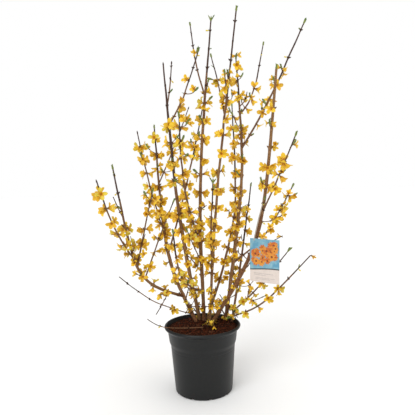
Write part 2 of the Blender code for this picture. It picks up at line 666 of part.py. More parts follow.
def make_label(limbs, paper):
    """The picture card, its strap and the strap's loop round the right-hand cane, as one piece."""
    limb = limbs["right"]
    turn = card_turn()
    half = Vector((CARD_WIDTH / 2, CARD_THICKNESS / 2, CARD_HEIGHT / 2))
    card = box_between("card", -half, half, turn, CARD_CENTRE, paper)
    ring, outer = strap_ring(limb, paper)
    foot = CARD_CENTRE + turn @ Vector((-CARD_WIDTH * 0.36, 0, CARD_HEIGHT / 2 - 0.006))
    ring_centre = Vector(limb.at(STRAP_SHARE))
    towards = (foot - ring_centre).normalized()
    tangent = Vector(limb.tangent(STRAP_SHARE))
    front = (towards - tangent * towards.dot(tangent)).normalized()
    head = ring_centre + front * (outer - CARD_THICKNESS / 2)
    way = (head - foot).normalized()
    across = (turn @ Vector((1, 0, 0)))
    across = (across - way * across.dot(way)).normalized()
    frame = Matrix((across, way.cross(across), way)).transposed()
    reach = (head - foot).length
    low = (-STRAP_WIDTH / 2, -CARD_THICKNESS / 2, -0.001)
    high = (STRAP_WIDTH / 2, CARD_THICKNESS / 2, reach)
    tail = box_between("tail", low, high, frame, foot, paper)
    return joined(card, [ring, tail], "plant_label")


def main():
    for obj in list(bpy.data.objects):
        bpy.data.objects.remove(obj)
    bark = material("bark", BARK_BROWN, 0.75)
    petal = material("petal", PETAL_YELLOW, 0.55)
    make_pot(material("black polypropylene", POT_BLACK, 0.45))
    make_soil(material("potting soil", SOIL_BROWN, 0.95))
    limbs = make_wood_and_sprays(bark, petal, material("green bud", BUD_GREEN, 0.6))
    make_label(limbs, material("printed card", LABEL_WHITE, 0.4))


main()
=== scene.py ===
# %% [markdown]
# # A forsythia in its nursery pot
#
# A forsythia flowers before its leaves come, so what one sees is wood: long canes that fan out of the
# pot, thin side shoots, and yellow four-lobed flowers in clusters at the joints of the wood. The solids
# of the part are already made. They are loaded here as a frame that never moves, and every piece below
# is laid over them, in metres, in the same place.

import json
import math
import random
from collections import namedtuple

import bpy
import numpy as np
from mathutils import Matrix, Vector

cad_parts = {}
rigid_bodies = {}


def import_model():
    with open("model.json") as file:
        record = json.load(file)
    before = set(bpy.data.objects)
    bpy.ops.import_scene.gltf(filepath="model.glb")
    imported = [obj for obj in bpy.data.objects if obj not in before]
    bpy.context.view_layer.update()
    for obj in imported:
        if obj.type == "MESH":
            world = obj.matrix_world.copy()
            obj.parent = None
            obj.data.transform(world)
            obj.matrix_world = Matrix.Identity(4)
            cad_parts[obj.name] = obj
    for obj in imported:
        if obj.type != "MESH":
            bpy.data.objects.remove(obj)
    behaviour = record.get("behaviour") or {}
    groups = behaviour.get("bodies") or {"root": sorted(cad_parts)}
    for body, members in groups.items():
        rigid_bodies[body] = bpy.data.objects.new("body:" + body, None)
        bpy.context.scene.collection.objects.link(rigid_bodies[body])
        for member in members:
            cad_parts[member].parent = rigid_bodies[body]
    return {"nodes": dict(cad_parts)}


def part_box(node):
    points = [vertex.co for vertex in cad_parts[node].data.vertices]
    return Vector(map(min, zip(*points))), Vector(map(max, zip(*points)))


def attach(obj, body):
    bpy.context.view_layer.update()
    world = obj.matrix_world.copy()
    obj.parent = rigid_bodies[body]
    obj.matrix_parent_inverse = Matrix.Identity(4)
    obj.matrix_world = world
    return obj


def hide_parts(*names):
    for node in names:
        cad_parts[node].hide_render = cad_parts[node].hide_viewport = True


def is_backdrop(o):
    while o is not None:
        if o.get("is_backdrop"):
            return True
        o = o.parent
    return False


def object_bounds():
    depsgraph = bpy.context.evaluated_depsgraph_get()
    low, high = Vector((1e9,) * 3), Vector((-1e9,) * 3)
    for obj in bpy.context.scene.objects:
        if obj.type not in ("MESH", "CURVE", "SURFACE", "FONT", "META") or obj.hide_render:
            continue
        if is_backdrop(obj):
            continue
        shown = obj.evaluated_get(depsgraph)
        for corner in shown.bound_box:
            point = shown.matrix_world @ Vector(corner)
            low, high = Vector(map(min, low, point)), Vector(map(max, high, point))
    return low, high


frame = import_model()
cad_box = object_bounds()
MM = 0.001
print("CAD box:", [round(v, 4) for corner in cad_box for v in corner])

# %% [markdown]
# ## The camera, the light and the floor
#
# The picture was taken from a little above half the shrub's height, tilted down by two and a half
# degrees, in a white studio with light from everywhere. A white world gives that even light, a large lamp
# on each side and one above keep the canes round, and a pale floor carries the pot.

# %% Camera
scene = bpy.context.scene
PICTURE_SIDE = 415
FOCAL_PIXELS = 440
SENSOR_MM = 36
CAMERA_PLACE = (0.027, -1.416, 0.651)
CAMERA_TILT_DEG = 2.44
CAMERA_ROLL_DEG = 1.6

camera = bpy.data.objects.new("camera", bpy.data.cameras.new("camera"))
camera.data.sensor_width = SENSOR_MM
camera.data.lens = SENSOR_MM * FOCAL_PIXELS / PICTURE_SIDE
camera.data.clip_start = 0.02
camera.matrix_world = (
    Matrix.Translation(CAMERA_PLACE)
    @ Matrix.Rotation(math.radians(90 - CAMERA_TILT_DEG), 4, "X")
    @ Matrix.Rotation(math.radians(-CAMERA_ROLL_DEG), 4, "Z")
)
scene.collection.objects.link(camera)
scene.camera = camera
print("lens", round(camera.data.lens, 2), "mm")

# %% Colours and nodes
def linear(hex_colour):
    """sRGB to linear light: a twelfth or so of each value below 0.04, and above it a power of 2.4."""
    srgb = np.array([int(hex_colour[k : k + 2], 16) for k in (1, 3, 5)]) / 255
    return (*np.where(srgb <= 0.04045, srgb / 12.92, ((srgb + 0.055) / 1.055) ** 2.4), 1.0)


def add_node(tree, kind, inputs, **settings):
    """Adds a node. inputs gives each socket, by name or place, a value or the socket that feeds it."""
    made = tree.nodes.new(kind)
    for key, value in settings.items():
        setattr(made, key, value)
    for key, value in inputs.items():
        if isinstance(value, bpy.types.NodeSocket):
            tree.links.new(value, made.inputs[key])
        else:
            made.inputs[key].default_value = value
    return made

# %% World and lamps
# The camera sees the walls pure white, but the shrub gets less light from them, so petals keep their colour.
WALL_LIGHT, SEEN_WHITE = 0.44, 1.0
world = bpy.data.worlds.new("white studio")
world.use_nodes = True
background = world.node_tree.nodes["Background"]
background.inputs["Color"].default_value = (1.0, 1.0, 1.0, 1.0)
light_path = add_node(world.node_tree, "ShaderNodeLightPath", {})
brightness = add_node(
    world.node_tree, "ShaderNodeMapRange",
    {"Value": light_path.outputs["Is Camera Ray"], "To Min": WALL_LIGHT, "To Max": SEEN_WHITE},
)
world.node_tree.links.new(brightness.outputs["Result"], background.inputs["Strength"])
scene.world = world
scene.view_settings.view_transform = "Standard"

# Each lamp is a soft panel far away: the direction it shines from, how wide it looks, and its strength.
LAMPS = {
    "key": ((-0.7, -1.3, 1.2), 40, 1.55),
    "fill": ((1.3, -0.9, 0.7), 60, 0.60),
    "top": ((0.1, 0.3, 1.6), 60, 1.00),
}
for name, (place, wide_deg, strength) in LAMPS.items():
    lamp = bpy.data.objects.new(name, bpy.data.lights.new(name, "SUN"))
    lamp.data.angle = math.radians(wide_deg)
    lamp.data.energy = strength
    lamp.rotation_euler = Vector(place).to_track_quat("Z", "Y").to_euler()
    scene.collection.objects.link(lamp)
print(len(LAMPS), "lamps")

# %% Put arrays into a mesh
def grid_quads(rows, columns, closed=False):
    """The corners of the quads between neighbouring rows and columns of a grid of points.

    closed joins the last column to the first, as round a tube.
    """
    row, column = np.meshgrid(np.arange(rows - 1), np.arange(columns - (not closed)), indexing="ij")
    row, column = row.ravel(), column.ravel()
    right = (column + 1) % columns
    here, above = row * columns, (row + 1) * columns
    return np.stack((here + column, here + right, above + right, above + column), axis=1)


def tube_faces(rows, sides):
    """The faces of a tube of rings that closes on one point at each end: quads, first fan and last fan."""
    first = 1 + np.arange(sides)
    last = first + (rows - 1) * sides
    bottom = np.stack((0 * first, np.roll(first, -1), first), axis=1)
    top = np.stack((0 * last + 1 + rows * sides, last, np.roll(last, -1)), axis=1)
    return [grid_quads(rows, sides, closed=True) + 1, bottom, top]


def repeated(faces, copies, points_each):
    """The same faces once for each copy of a shape, whose points follow one another."""
    return (faces[None] + (np.arange(copies) * points_each)[:, None, None]).reshape(-1, faces.shape[1])


def joined(shapes):
    """Points, faces and dealt materials of several shapes, each given as points, faces and a number."""
    starts = np.cumsum([0] + [len(points) for points, _, _ in shapes])
    faces = [some + start for (_, some, _), start in zip(shapes, starts)]
    dealt = np.concatenate([np.full(len(some), number) for _, some, number in shapes])
    return np.concatenate([points for points, _, _ in shapes]), faces, dealt


def mesh_object(name, points, faces, materials):
    """An object at the origin. faces is a list of arrays, each with a column for each corner of its faces."""
    mesh = bpy.data.meshes.new(name)
    listed = [face for group in faces for face in np.asarray(group).tolist()]
    mesh.from_pydata(np.asarray(points).reshape(-1, 3).tolist(), [], listed)
    for material in materials:
        mesh.materials.append(material)
    made = bpy.data.objects.new(name, mesh)
    scene.collection.objects.link(made)
    return made


def add_piece(name, points, faces, materials, dealt=None, sharp_deg=45.0):
    """A piece of the part, which rides on its one body.

    dealt gives each face the number of its material. Edges sharper than sharp_deg stay sharp, and all
    of them do where it is None.
    """
    made = mesh_object(name, points, faces, materials)
    if dealt is not None:
        made.data.polygons.foreach_set("material_index", np.asarray(dealt, np.int32))
    if sharp_deg is not None:
        made.data.shade_smooth()
        made.data.set_sharp_from_angle(angle=math.radians(sharp_deg))
    made.data.update()
    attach(made, "root")
    print(name, len(made.data.polygons), "faces")
    return made

# %% Floor
FLOOR_RADIUS, FLOOR_SIDES = 60.0, 64
floor_paint = bpy.data.materials.new("pale studio floor")
floor_paint.use_nodes = True
paint = floor_paint.node_tree.nodes["Principled BSDF"].inputs
paint["Base Color"].default_value = linear("#fbfbfa")
paint["Roughness"].default_value = 0.85
turn = np.linspace(0, 2 * math.pi, FLOOR_SIDES, endpoint=False)
rim = np.stack((FLOOR_RADIUS * np.cos(turn), FLOOR_RADIUS * np.sin(turn), 0 * turn), axis=1)
floor = mesh_object("floor", rim, [np.arange(FLOOR_SIDES)[None]], [floor_paint])
floor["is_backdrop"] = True
print("floor", 2 * FLOOR_RADIUS, "m across")

# %% [markdown]
# ## Materials
#
# Most of what one sees is grown, not made: bark, petals, bud scales and young leaf. Their colours have a
# place, older wood low down and dark twigs at the ends, and those places are dealt out by stretch of
# wood or by flower as plain colours. On top of its plain colour the bark has a fine mottle and a bump,
# which need no place. The pot and the label are factory goods, moulded and printed.

# %% A material with a mottle and a bump
SOCKETS = {
    "coat": "Coat Weight",
    "coat_roughness": "Coat Roughness",
    "sheen": "Sheen Weight",
    "specular": "Specular IOR Level",
}
# The noise runs from about 0.3 to 0.7, so between these two it fades from one colour to the other.
MOTTLE_STARTS, MOTTLE_ENDS = 0.38, 0.66


def surface(name, base, roughness, mottle=None, grain_mm=1.0, bump_mm=0.0, **more):
    """A Principled surface. mottle is a second colour, mixed in by noise of grain_mm that also gives the
    bump, and more gives the values of further sockets by their short names."""
    made = bpy.data.materials.new(name)
    made.use_nodes = True
    made.diffuse_color = linear(base)
    tree = made.node_tree
    shader = tree.nodes["Principled BSDF"]
    shader.inputs["Base Color"].default_value = linear(base)
    shader.inputs["Roughness"].default_value = roughness
    for key, value in more.items():
        shader.inputs[SOCKETS[key]].default_value = value
    if mottle is None:
        return made
    place = add_node(tree, "ShaderNodeTexCoord", {})
    noise = add_node(
        tree, "ShaderNodeTexNoise",
        {"Vector": place.outputs["Object"], "Scale": 1 / (grain_mm * MM), "Detail": 3.0, "Roughness": 0.6},
    )
    share = add_node(
        tree, "ShaderNodeMapRange",
        {"Value": noise.outputs["Fac"], "From Min": MOTTLE_STARTS, "From Max": MOTTLE_ENDS},
    )
    mixed = add_node(
        tree, "ShaderNodeMix",
        {0: share.outputs["Result"], 6: linear(base), 7: linear(mottle)}, data_type="RGBA",
    )
    tree.links.new(mixed.outputs[2], shader.inputs["Base Color"])
    if bump_mm:
        bump = add_node(
            tree, "ShaderNodeBump",
            {"Height": noise.outputs["Fac"], "Strength": 1.0, "Distance": bump_mm * MM},
        )
        tree.links.new(bump.outputs["Normal"], shader.inputs["Normal"])
    return made

# %% Wood
# Young forsythia bark is thin, dry and dull, tan to red-brown, with pale corky warts a millimetre or two
# long. It is oldest and most orange at the foot, and nearly black-brown on the newest twigs.
FOOT, CANE, SHOOT, TWIG, JOINT = range(5)
BARKS = (
    surface("old corky bark", "#5f3d25", 0.85, "#8b6242", grain_mm=3.2, bump_mm=0.8, specular=0.2),
    surface("tan cane bark", "#6f4e31", 0.80, "#a07a52", grain_mm=2.8, bump_mm=0.6, specular=0.25),
    surface("red-brown shoot bark", "#64452f", 0.76, "#896649", grain_mm=2.0, bump_mm=0.3, specular=0.25),
    surface("dark twig bark", "#40302a", 0.72, "#5c463c", grain_mm=1.6, bump_mm=0.2, specular=0.2),
    surface("corky joint", "#2c1e18", 0.85, "#493323", grain_mm=1.4, bump_mm=0.3, specular=0.15),
)

# %% Flower, bud and leaf
# A petal is a thin wet film of cells: bright and slightly waxy, with a faint sheen.
GOLD, DEEP, PALE, THROAT = range(4)
PETALS = (
    surface("golden petal", "#efc526", 0.55, sheen=0.1),
    surface("deep golden petal", "#e0b01c", 0.55, sheen=0.1),
    surface("pale young petal", "#dcc43a", 0.55, sheen=0.1),
    surface("orange throat", "#c98a1a", 0.65),
)
STALK, SCALE, BUD_GREEN, LEAF, OLD_SCALE = range(5)
GREENS = (
    surface("brown-green flower stalk", "#857030", 0.6),
    surface("brown bud scale", "#382419", 0.7, specular=0.2),
    surface("green leaf bud", "#79853a", 0.5),
    surface("young leaf", "#566f2a", 0.45),
    surface("emptied bud scale", "#6e4d28", 0.7, specular=0.2),
)

# %% Pot, soil and label
# Injection-moulded black polypropylene: satin, with the mould's faint grain, never quite black because
# its satin skin mirrors the white room.
POT_PLASTIC = surface(
    "black moulded polypropylene", "#131414", 0.42, "#171818", grain_mm=6.0, bump_mm=0.04, specular=0.30
)
# Potting compost of peat and composted bark: dark, damp, red-brown, with no shine.
COMPOST = surface("damp bark compost", "#1f0e08", 0.95, "#43200f", grain_mm=4.5, bump_mm=3.0, specular=0.08)
CHIPS = (
    surface("dark bark chip", "#2a120a", 0.9, "#1c0c07", grain_mm=3.0, bump_mm=0.3, specular=0.1),
    surface("red bark chip", "#5a2b17", 0.88, "#3e1b0b", grain_mm=3.0, bump_mm=0.3, specular=0.1),
    surface("peat fibre", "#6b4428", 0.9, "#4b2c19", grain_mm=2.0, bump_mm=0.2),
)
# Plastic-coated card: smooth and white, with a faint gloss over its printed inks.
CARD_STOCK = surface(
    "coated white card", "#dccfc6", 0.36, "#d5c8bf", grain_mm=9.0, bump_mm=0.03, coat=0.2, coat_roughness=0.25
)
INK_SKY = surface("sky blue ink", "#5795b2", 0.36, "#86b3c0", grain_mm=16.0, coat=0.15, coat_roughness=0.3)
ORANGE, AMBER, RUSSET, DARK, GREY = range(5)
INKS = (
    surface("orange ink", "#c5661b", 0.35),
    surface("amber ink", "#d78c2c", 0.35),
    surface("red-brown ink", "#7a3516", 0.35),
    surface("dark ink", "#24292b", 0.35),
    surface("grey ink", "#a39c98", 0.35),
)
# The strap is thin polyethylene film, milky grey and a little glossy.
STRAP_FILM = surface("grey strap film", "#a89c8e", 0.4)
print(len(bpy.data.materials), "materials")

# %% [markdown]
# ## The pot
#
# The pot is moulded thin and is round in shape: a foot, a long wall that widens a little, a step, a band
# that lets pots stack, and a rolled lip. Everything round can be made as a profile carried round an axis, and
# rounding the profile's corners rounds every edge of the pot at once. The drain slots are cut afterwards.

# %% Round the corners of a profile, and turn it
pot_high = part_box("pot")[1]
LIP_RADIUS = pot_high[0]
POT_HEIGHT = pot_high[2]
WALL = 0.002


def rounded(corners, radius, steps=5):
    """Each corner becomes (1-t)^2 before + 2t(1-t) corner + t^2 after, where before and after lie on its two
    sides, a radius away, or nearly half a side away where the side is short."""
    corners = np.array(corners)
    before, here, after = corners[:-2], corners[1:-1], corners[2:]
    back, on = (np.linalg.norm(other - here, axis=1, keepdims=True) for other in (before, after))
    start = here + (before - here) * np.minimum(radius / back, 0.48)
    end = here + (after - here) * np.minimum(radius / on, 0.48)
    t = np.linspace(0, 1, steps)[:, None]
    arcs = (1 - t) ** 2 * start[:, None] + 2 * t * (1 - t) * here[:, None] + t**2 * end[:, None]
    return np.concatenate([corners[:1], arcs.reshape(-1, 2), corners[-1:]])


def turned(profile, sides):
    """x = radius cos a, y = radius sin a, for each (radius, height) of a profile from axis to axis."""
    angle = 2 * math.pi * np.arange(sides) / sides
    radius, height = profile[1:-1, :1], profile[1:-1, 1:]
    walls = np.stack((radius * np.cos(angle), radius * np.sin(angle), height + 0 * angle), axis=-1)
    points = np.concatenate(([(0, 0, profile[0, 1])], walls.reshape(-1, 3), [(0, 0, profile[-1, 1])]))
    return points, tube_faces(len(radius), sides)

# %% The pot's two sides
FOOT_RADIUS = LIP_RADIUS - 0.0307
WALL_TOP_RADIUS = LIP_RADIUS - 0.0195
BAND_FOOT_RADIUS = LIP_RADIUS - 0.0149
BAND_RADIUS = LIP_RADIUS - 0.0103
LIP_FOOT = POT_HEIGHT - 0.010
BAND_TOP = LIP_FOOT - 0.006
STEP_HEIGHT = 0.150
BAND_FOOT_HEIGHT = 0.163
GROOVE_DEPTH = 0.0007
FLOOR_TOP = 0.0025
EDGE_RADIUS = 0.0024
POT_SIDES = 160
outside = [
    (0.0, 0.0),
    (FOOT_RADIUS - 0.012, 0.0),
    (FOOT_RADIUS - 0.010, 0.0012),
    (FOOT_RADIUS - 0.004, 0.0),
    (FOOT_RADIUS, 0.0025),
    (FOOT_RADIUS + 0.0003, 0.0085),
    (FOOT_RADIUS + 0.0004, 0.0090),
    (WALL_TOP_RADIUS - 0.0008, STEP_HEIGHT - 0.012),
    (WALL_TOP_RADIUS - 0.0006 - GROOVE_DEPTH, STEP_HEIGHT - 0.0105),
    (WALL_TOP_RADIUS - 0.0004, STEP_HEIGHT - 0.009),
    (WALL_TOP_RADIUS, STEP_HEIGHT),
    (BAND_FOOT_RADIUS - 0.0008, BAND_FOOT_HEIGHT - 0.003),
    (BAND_FOOT_RADIUS, BAND_FOOT_HEIGHT),
    (BAND_RADIUS, BAND_TOP),
    (LIP_RADIUS - 0.0025, LIP_FOOT - 0.0005),
    (LIP_RADIUS, LIP_FOOT + 0.003),
    (LIP_RADIUS, POT_HEIGHT - 0.004),
    (LIP_RADIUS - 0.0035, POT_HEIGHT),
]
inside = [
    (LIP_RADIUS - 0.0066, POT_HEIGHT - 0.0008),
    (BAND_RADIUS - WALL, BAND_TOP),
    (BAND_FOOT_RADIUS - WALL, BAND_FOOT_HEIGHT),
    (WALL_TOP_RADIUS - WALL, STEP_HEIGHT),
    (FOOT_RADIUS - WALL, FLOOR_TOP),
    (0.0, FLOOR_TOP),
]
points, faces = turned(rounded(outside + inside, EDGE_RADIUS), POT_SIDES)
pot = add_piece("pot_shell", points, faces, [POT_PLASTIC], sharp_deg=50)

# %% Cut the drain slots
DRAIN_SLOTS = 10
DRAIN_FIRST_DEG = 31.0
DRAIN_SIZE = (0.016, 0.010, 0.012)
BOX_CORNERS = np.array([(x, y, z) for x in (-0.5, 0.5) for y in (-0.5, 0.5) for z in (-0.5, 0.5)])
BOX_FACES = np.array([(0, 1, 3, 2), (4, 6, 7, 5), (0, 4, 5, 1), (2, 3, 7, 6), (0, 2, 6, 4), (1, 5, 7, 3)])
corner = BOX_CORNERS * DRAIN_SIZE
angle = np.radians(DRAIN_FIRST_DEG + 360 / DRAIN_SLOTS * np.arange(DRAIN_SLOTS))
out = np.stack((np.cos(angle), np.sin(angle), 0 * angle), axis=1)[:, None]
along = np.stack((-np.sin(angle), np.cos(angle), 0 * angle), axis=1)[:, None]
blocks = (FOOT_RADIUS + corner[:, :1]) * out + corner[:, 1:2] * along + corner[:, 2:] * np.array((0, 0, 1.0))
cutter = mesh_object("drain_cutter", blocks, [repeated(BOX_FACES, DRAIN_SLOTS, 8)], [POT_PLASTIC])
cut = pot.modifiers.new("drain slots", "BOOLEAN")
cut.operation, cut.object, cut.solver = "DIFFERENCE", cutter, "EXACT"
with bpy.context.temp_override(object=pot, active_object=pot):
    bpy.ops.object.modifier_apply(modifier=cut.name)
bpy.data.objects.remove(cutter)
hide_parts("pot")
print("pot", len(pot.data.polygons), "faces after the cuts")

# %% [markdown]
# ## The compost
#
# Compost is crumbs of every size. The large ones are a height that smooth noise gives to a disc, the
# middle ones are loose chips lying on it, and the smallest are left to the material's bump.

# %% Smooth noise from a lattice
# These numbers mean nothing in themselves: they turn a lattice corner's place into a fraction that looks
# random, and shift the lattice from one seed to the next.
HASH_WAY, HASH_GAIN, SEED_SHIFT = (127.1, 311.7, 74.7), 43758.5453, 17.31


def noise_at(points, cell, seed):
    """Noise between -1 and 1: a pseudo-random number at each corner of a lattice of cells, blended across
    each cell by 3t^2 - 2t^3 in every direction."""
    places = np.asarray(points) / cell + seed * SEED_SHIFT
    base = np.floor(places)
    part = places - base
    part = part * part * (3 - 2 * part)
    total = 0.0
    for corner in np.ndindex(2, 2, 2):
        weight = np.where(corner, part, 1 - part).prod(axis=-1)
        hashed = np.sin((base + corner) @ HASH_WAY + seed) * HASH_GAIN % 1
        total = total + weight * (hashed * 2 - 1)
    return total

# %% The compost's surface
SOIL_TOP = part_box("soil")[1][2]
SOIL_EDGE = SOIL_TOP - 0.004
SOIL_EDGE_RADIUS = LIP_RADIUS - 0.0112
SOIL_FOOT = 0.003
SOIL_INSET = WALL + 0.0006
# Lumps as pairs of height and width: they get lower as they get smaller.
LUMPS = ((0.0011, 0.030), (0.0010, 0.011), (0.0006, 0.004))
EDGE_DIP = 0.0034
TOP_RINGS, SOIL_SIDES = 56, 180


def soil_height(points):
    """The compost's height: flat, with three sizes of lump, and dipping at its edge by the eighth power of
    the share of its radius."""
    flat = np.asarray(points)[..., :2]
    flat = np.concatenate((flat, 0 * flat[..., :1]), axis=-1)
    lumps = sum(high * noise_at(flat, wide, 1 + k) for k, (high, wide) in enumerate(LUMPS))
    radius = np.hypot(flat[..., 0], flat[..., 1])
    return SOIL_TOP - 0.0006 + lumps - EDGE_DIP * np.clip(radius / SOIL_EDGE_RADIUS, 0, 1) ** 8


top_radii = np.linspace(SOIL_EDGE_RADIUS, 0.0, TOP_RINGS)
wall = [
    (0.0, SOIL_FOOT),
    (FOOT_RADIUS - SOIL_INSET, SOIL_FOOT),
    (WALL_TOP_RADIUS - SOIL_INSET, STEP_HEIGHT),
    (BAND_RADIUS - SOIL_INSET, BAND_TOP),
]
profile = np.concatenate((wall, np.stack((top_radii, SOIL_EDGE + 0 * top_radii), axis=1)))
points, faces = turned(profile, SOIL_SIDES)
on_top = points[:, 2] > SOIL_EDGE - 1e-6
points[on_top, 2] = soil_height(points[on_top])
soil = add_piece("compost", points, faces, [COMPOST], sharp_deg=80)
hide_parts("soil")

# %% Turn many small things at once
def facing(ways, spins):
    """One turn matrix for each way: its third column is the way, and the first two are square to it, spun
    about it."""
    ways = ways / np.linalg.norm(ways, axis=1, keepdims=True)
    helper = np.where(np.abs(ways[:, 2:]) < 0.9, (0.0, 0.0, 1.0), (0.0, 1.0, 0.0))
    first = np.cross(helper, ways)
    first /= np.linalg.norm(first, axis=1, keepdims=True)
    second = np.cross(ways, first)
    c, s = np.cos(spins)[:, None], np.sin(spins)[:, None]
    return np.stack((c * first + s * second, c * second - s * first, ways), axis=-1)


def placed(turns, roots, local):
    """Each copy's own points, turned by its matrix and moved to its root."""
    return np.einsum("nij,nkj->nki", turns, local) + roots[:, None]

# %% Chips and fibres
CHIP_COUNT = 1300
SMALLEST_CHIP, LARGEST_CHIP = (0.0022, 0.0012, 0.0007), (0.0085, 0.0036, 0.0018)
FIBRE_SHARE = 0.12
FIBRE_STRETCH = (2.0, 0.35, 0.6)
CHIP_RAGGED = 0.16
CHIP_TILT = 0.32
FULL_TURN = 6.28
rng = np.random.default_rng(8)
radius = (SOIL_EDGE_RADIUS - 0.004) * np.sqrt(rng.uniform(0, 1, CHIP_COUNT))
angle = rng.uniform(0, 2 * math.pi, CHIP_COUNT)
roots = np.stack((radius * np.cos(angle), radius * np.sin(angle), 0 * radius), axis=1)
roots[:, 2] = soil_height(roots) + 0.0003
sizes = rng.uniform(SMALLEST_CHIP, LARGEST_CHIP, (CHIP_COUNT, 3))
fibre = rng.uniform(0, 1, CHIP_COUNT) < FIBRE_SHARE
sizes[fibre] *= FIBRE_STRETCH
local = (BOX_CORNERS + rng.uniform(-CHIP_RAGGED, CHIP_RAGGED, (CHIP_COUNT, 8, 3))) * sizes[:, None]
ways = np.concatenate((rng.normal(0, CHIP_TILT, (CHIP_COUNT, 2)), np.ones((CHIP_COUNT, 1))), axis=1)
chip_points = placed(facing(ways, rng.uniform(0, FULL_TURN, CHIP_COUNT)), roots, local)
kind = np.where(fibre, 2, rng.integers(0, 2, CHIP_COUNT))
chip_faces = [repeated(BOX_FACES, CHIP_COUNT, 8)]
chips = add_piece("compost_chips", chip_points, chip_faces, CHIPS, np.repeat(kind, 6), sharp_deg=None)

# %% [markdown]
# ## The wood's plan
#
# The shrub is grown by the rule that made its solids, written here again. Each shoot is one cubic curve:
# it leaves its foot or its parent towards a knee and comes to its tip from that knee. A real cane isn't a
# perfect curve, though: it kinks a little at its joints, so a slow wobble of a millimetre or two is added.

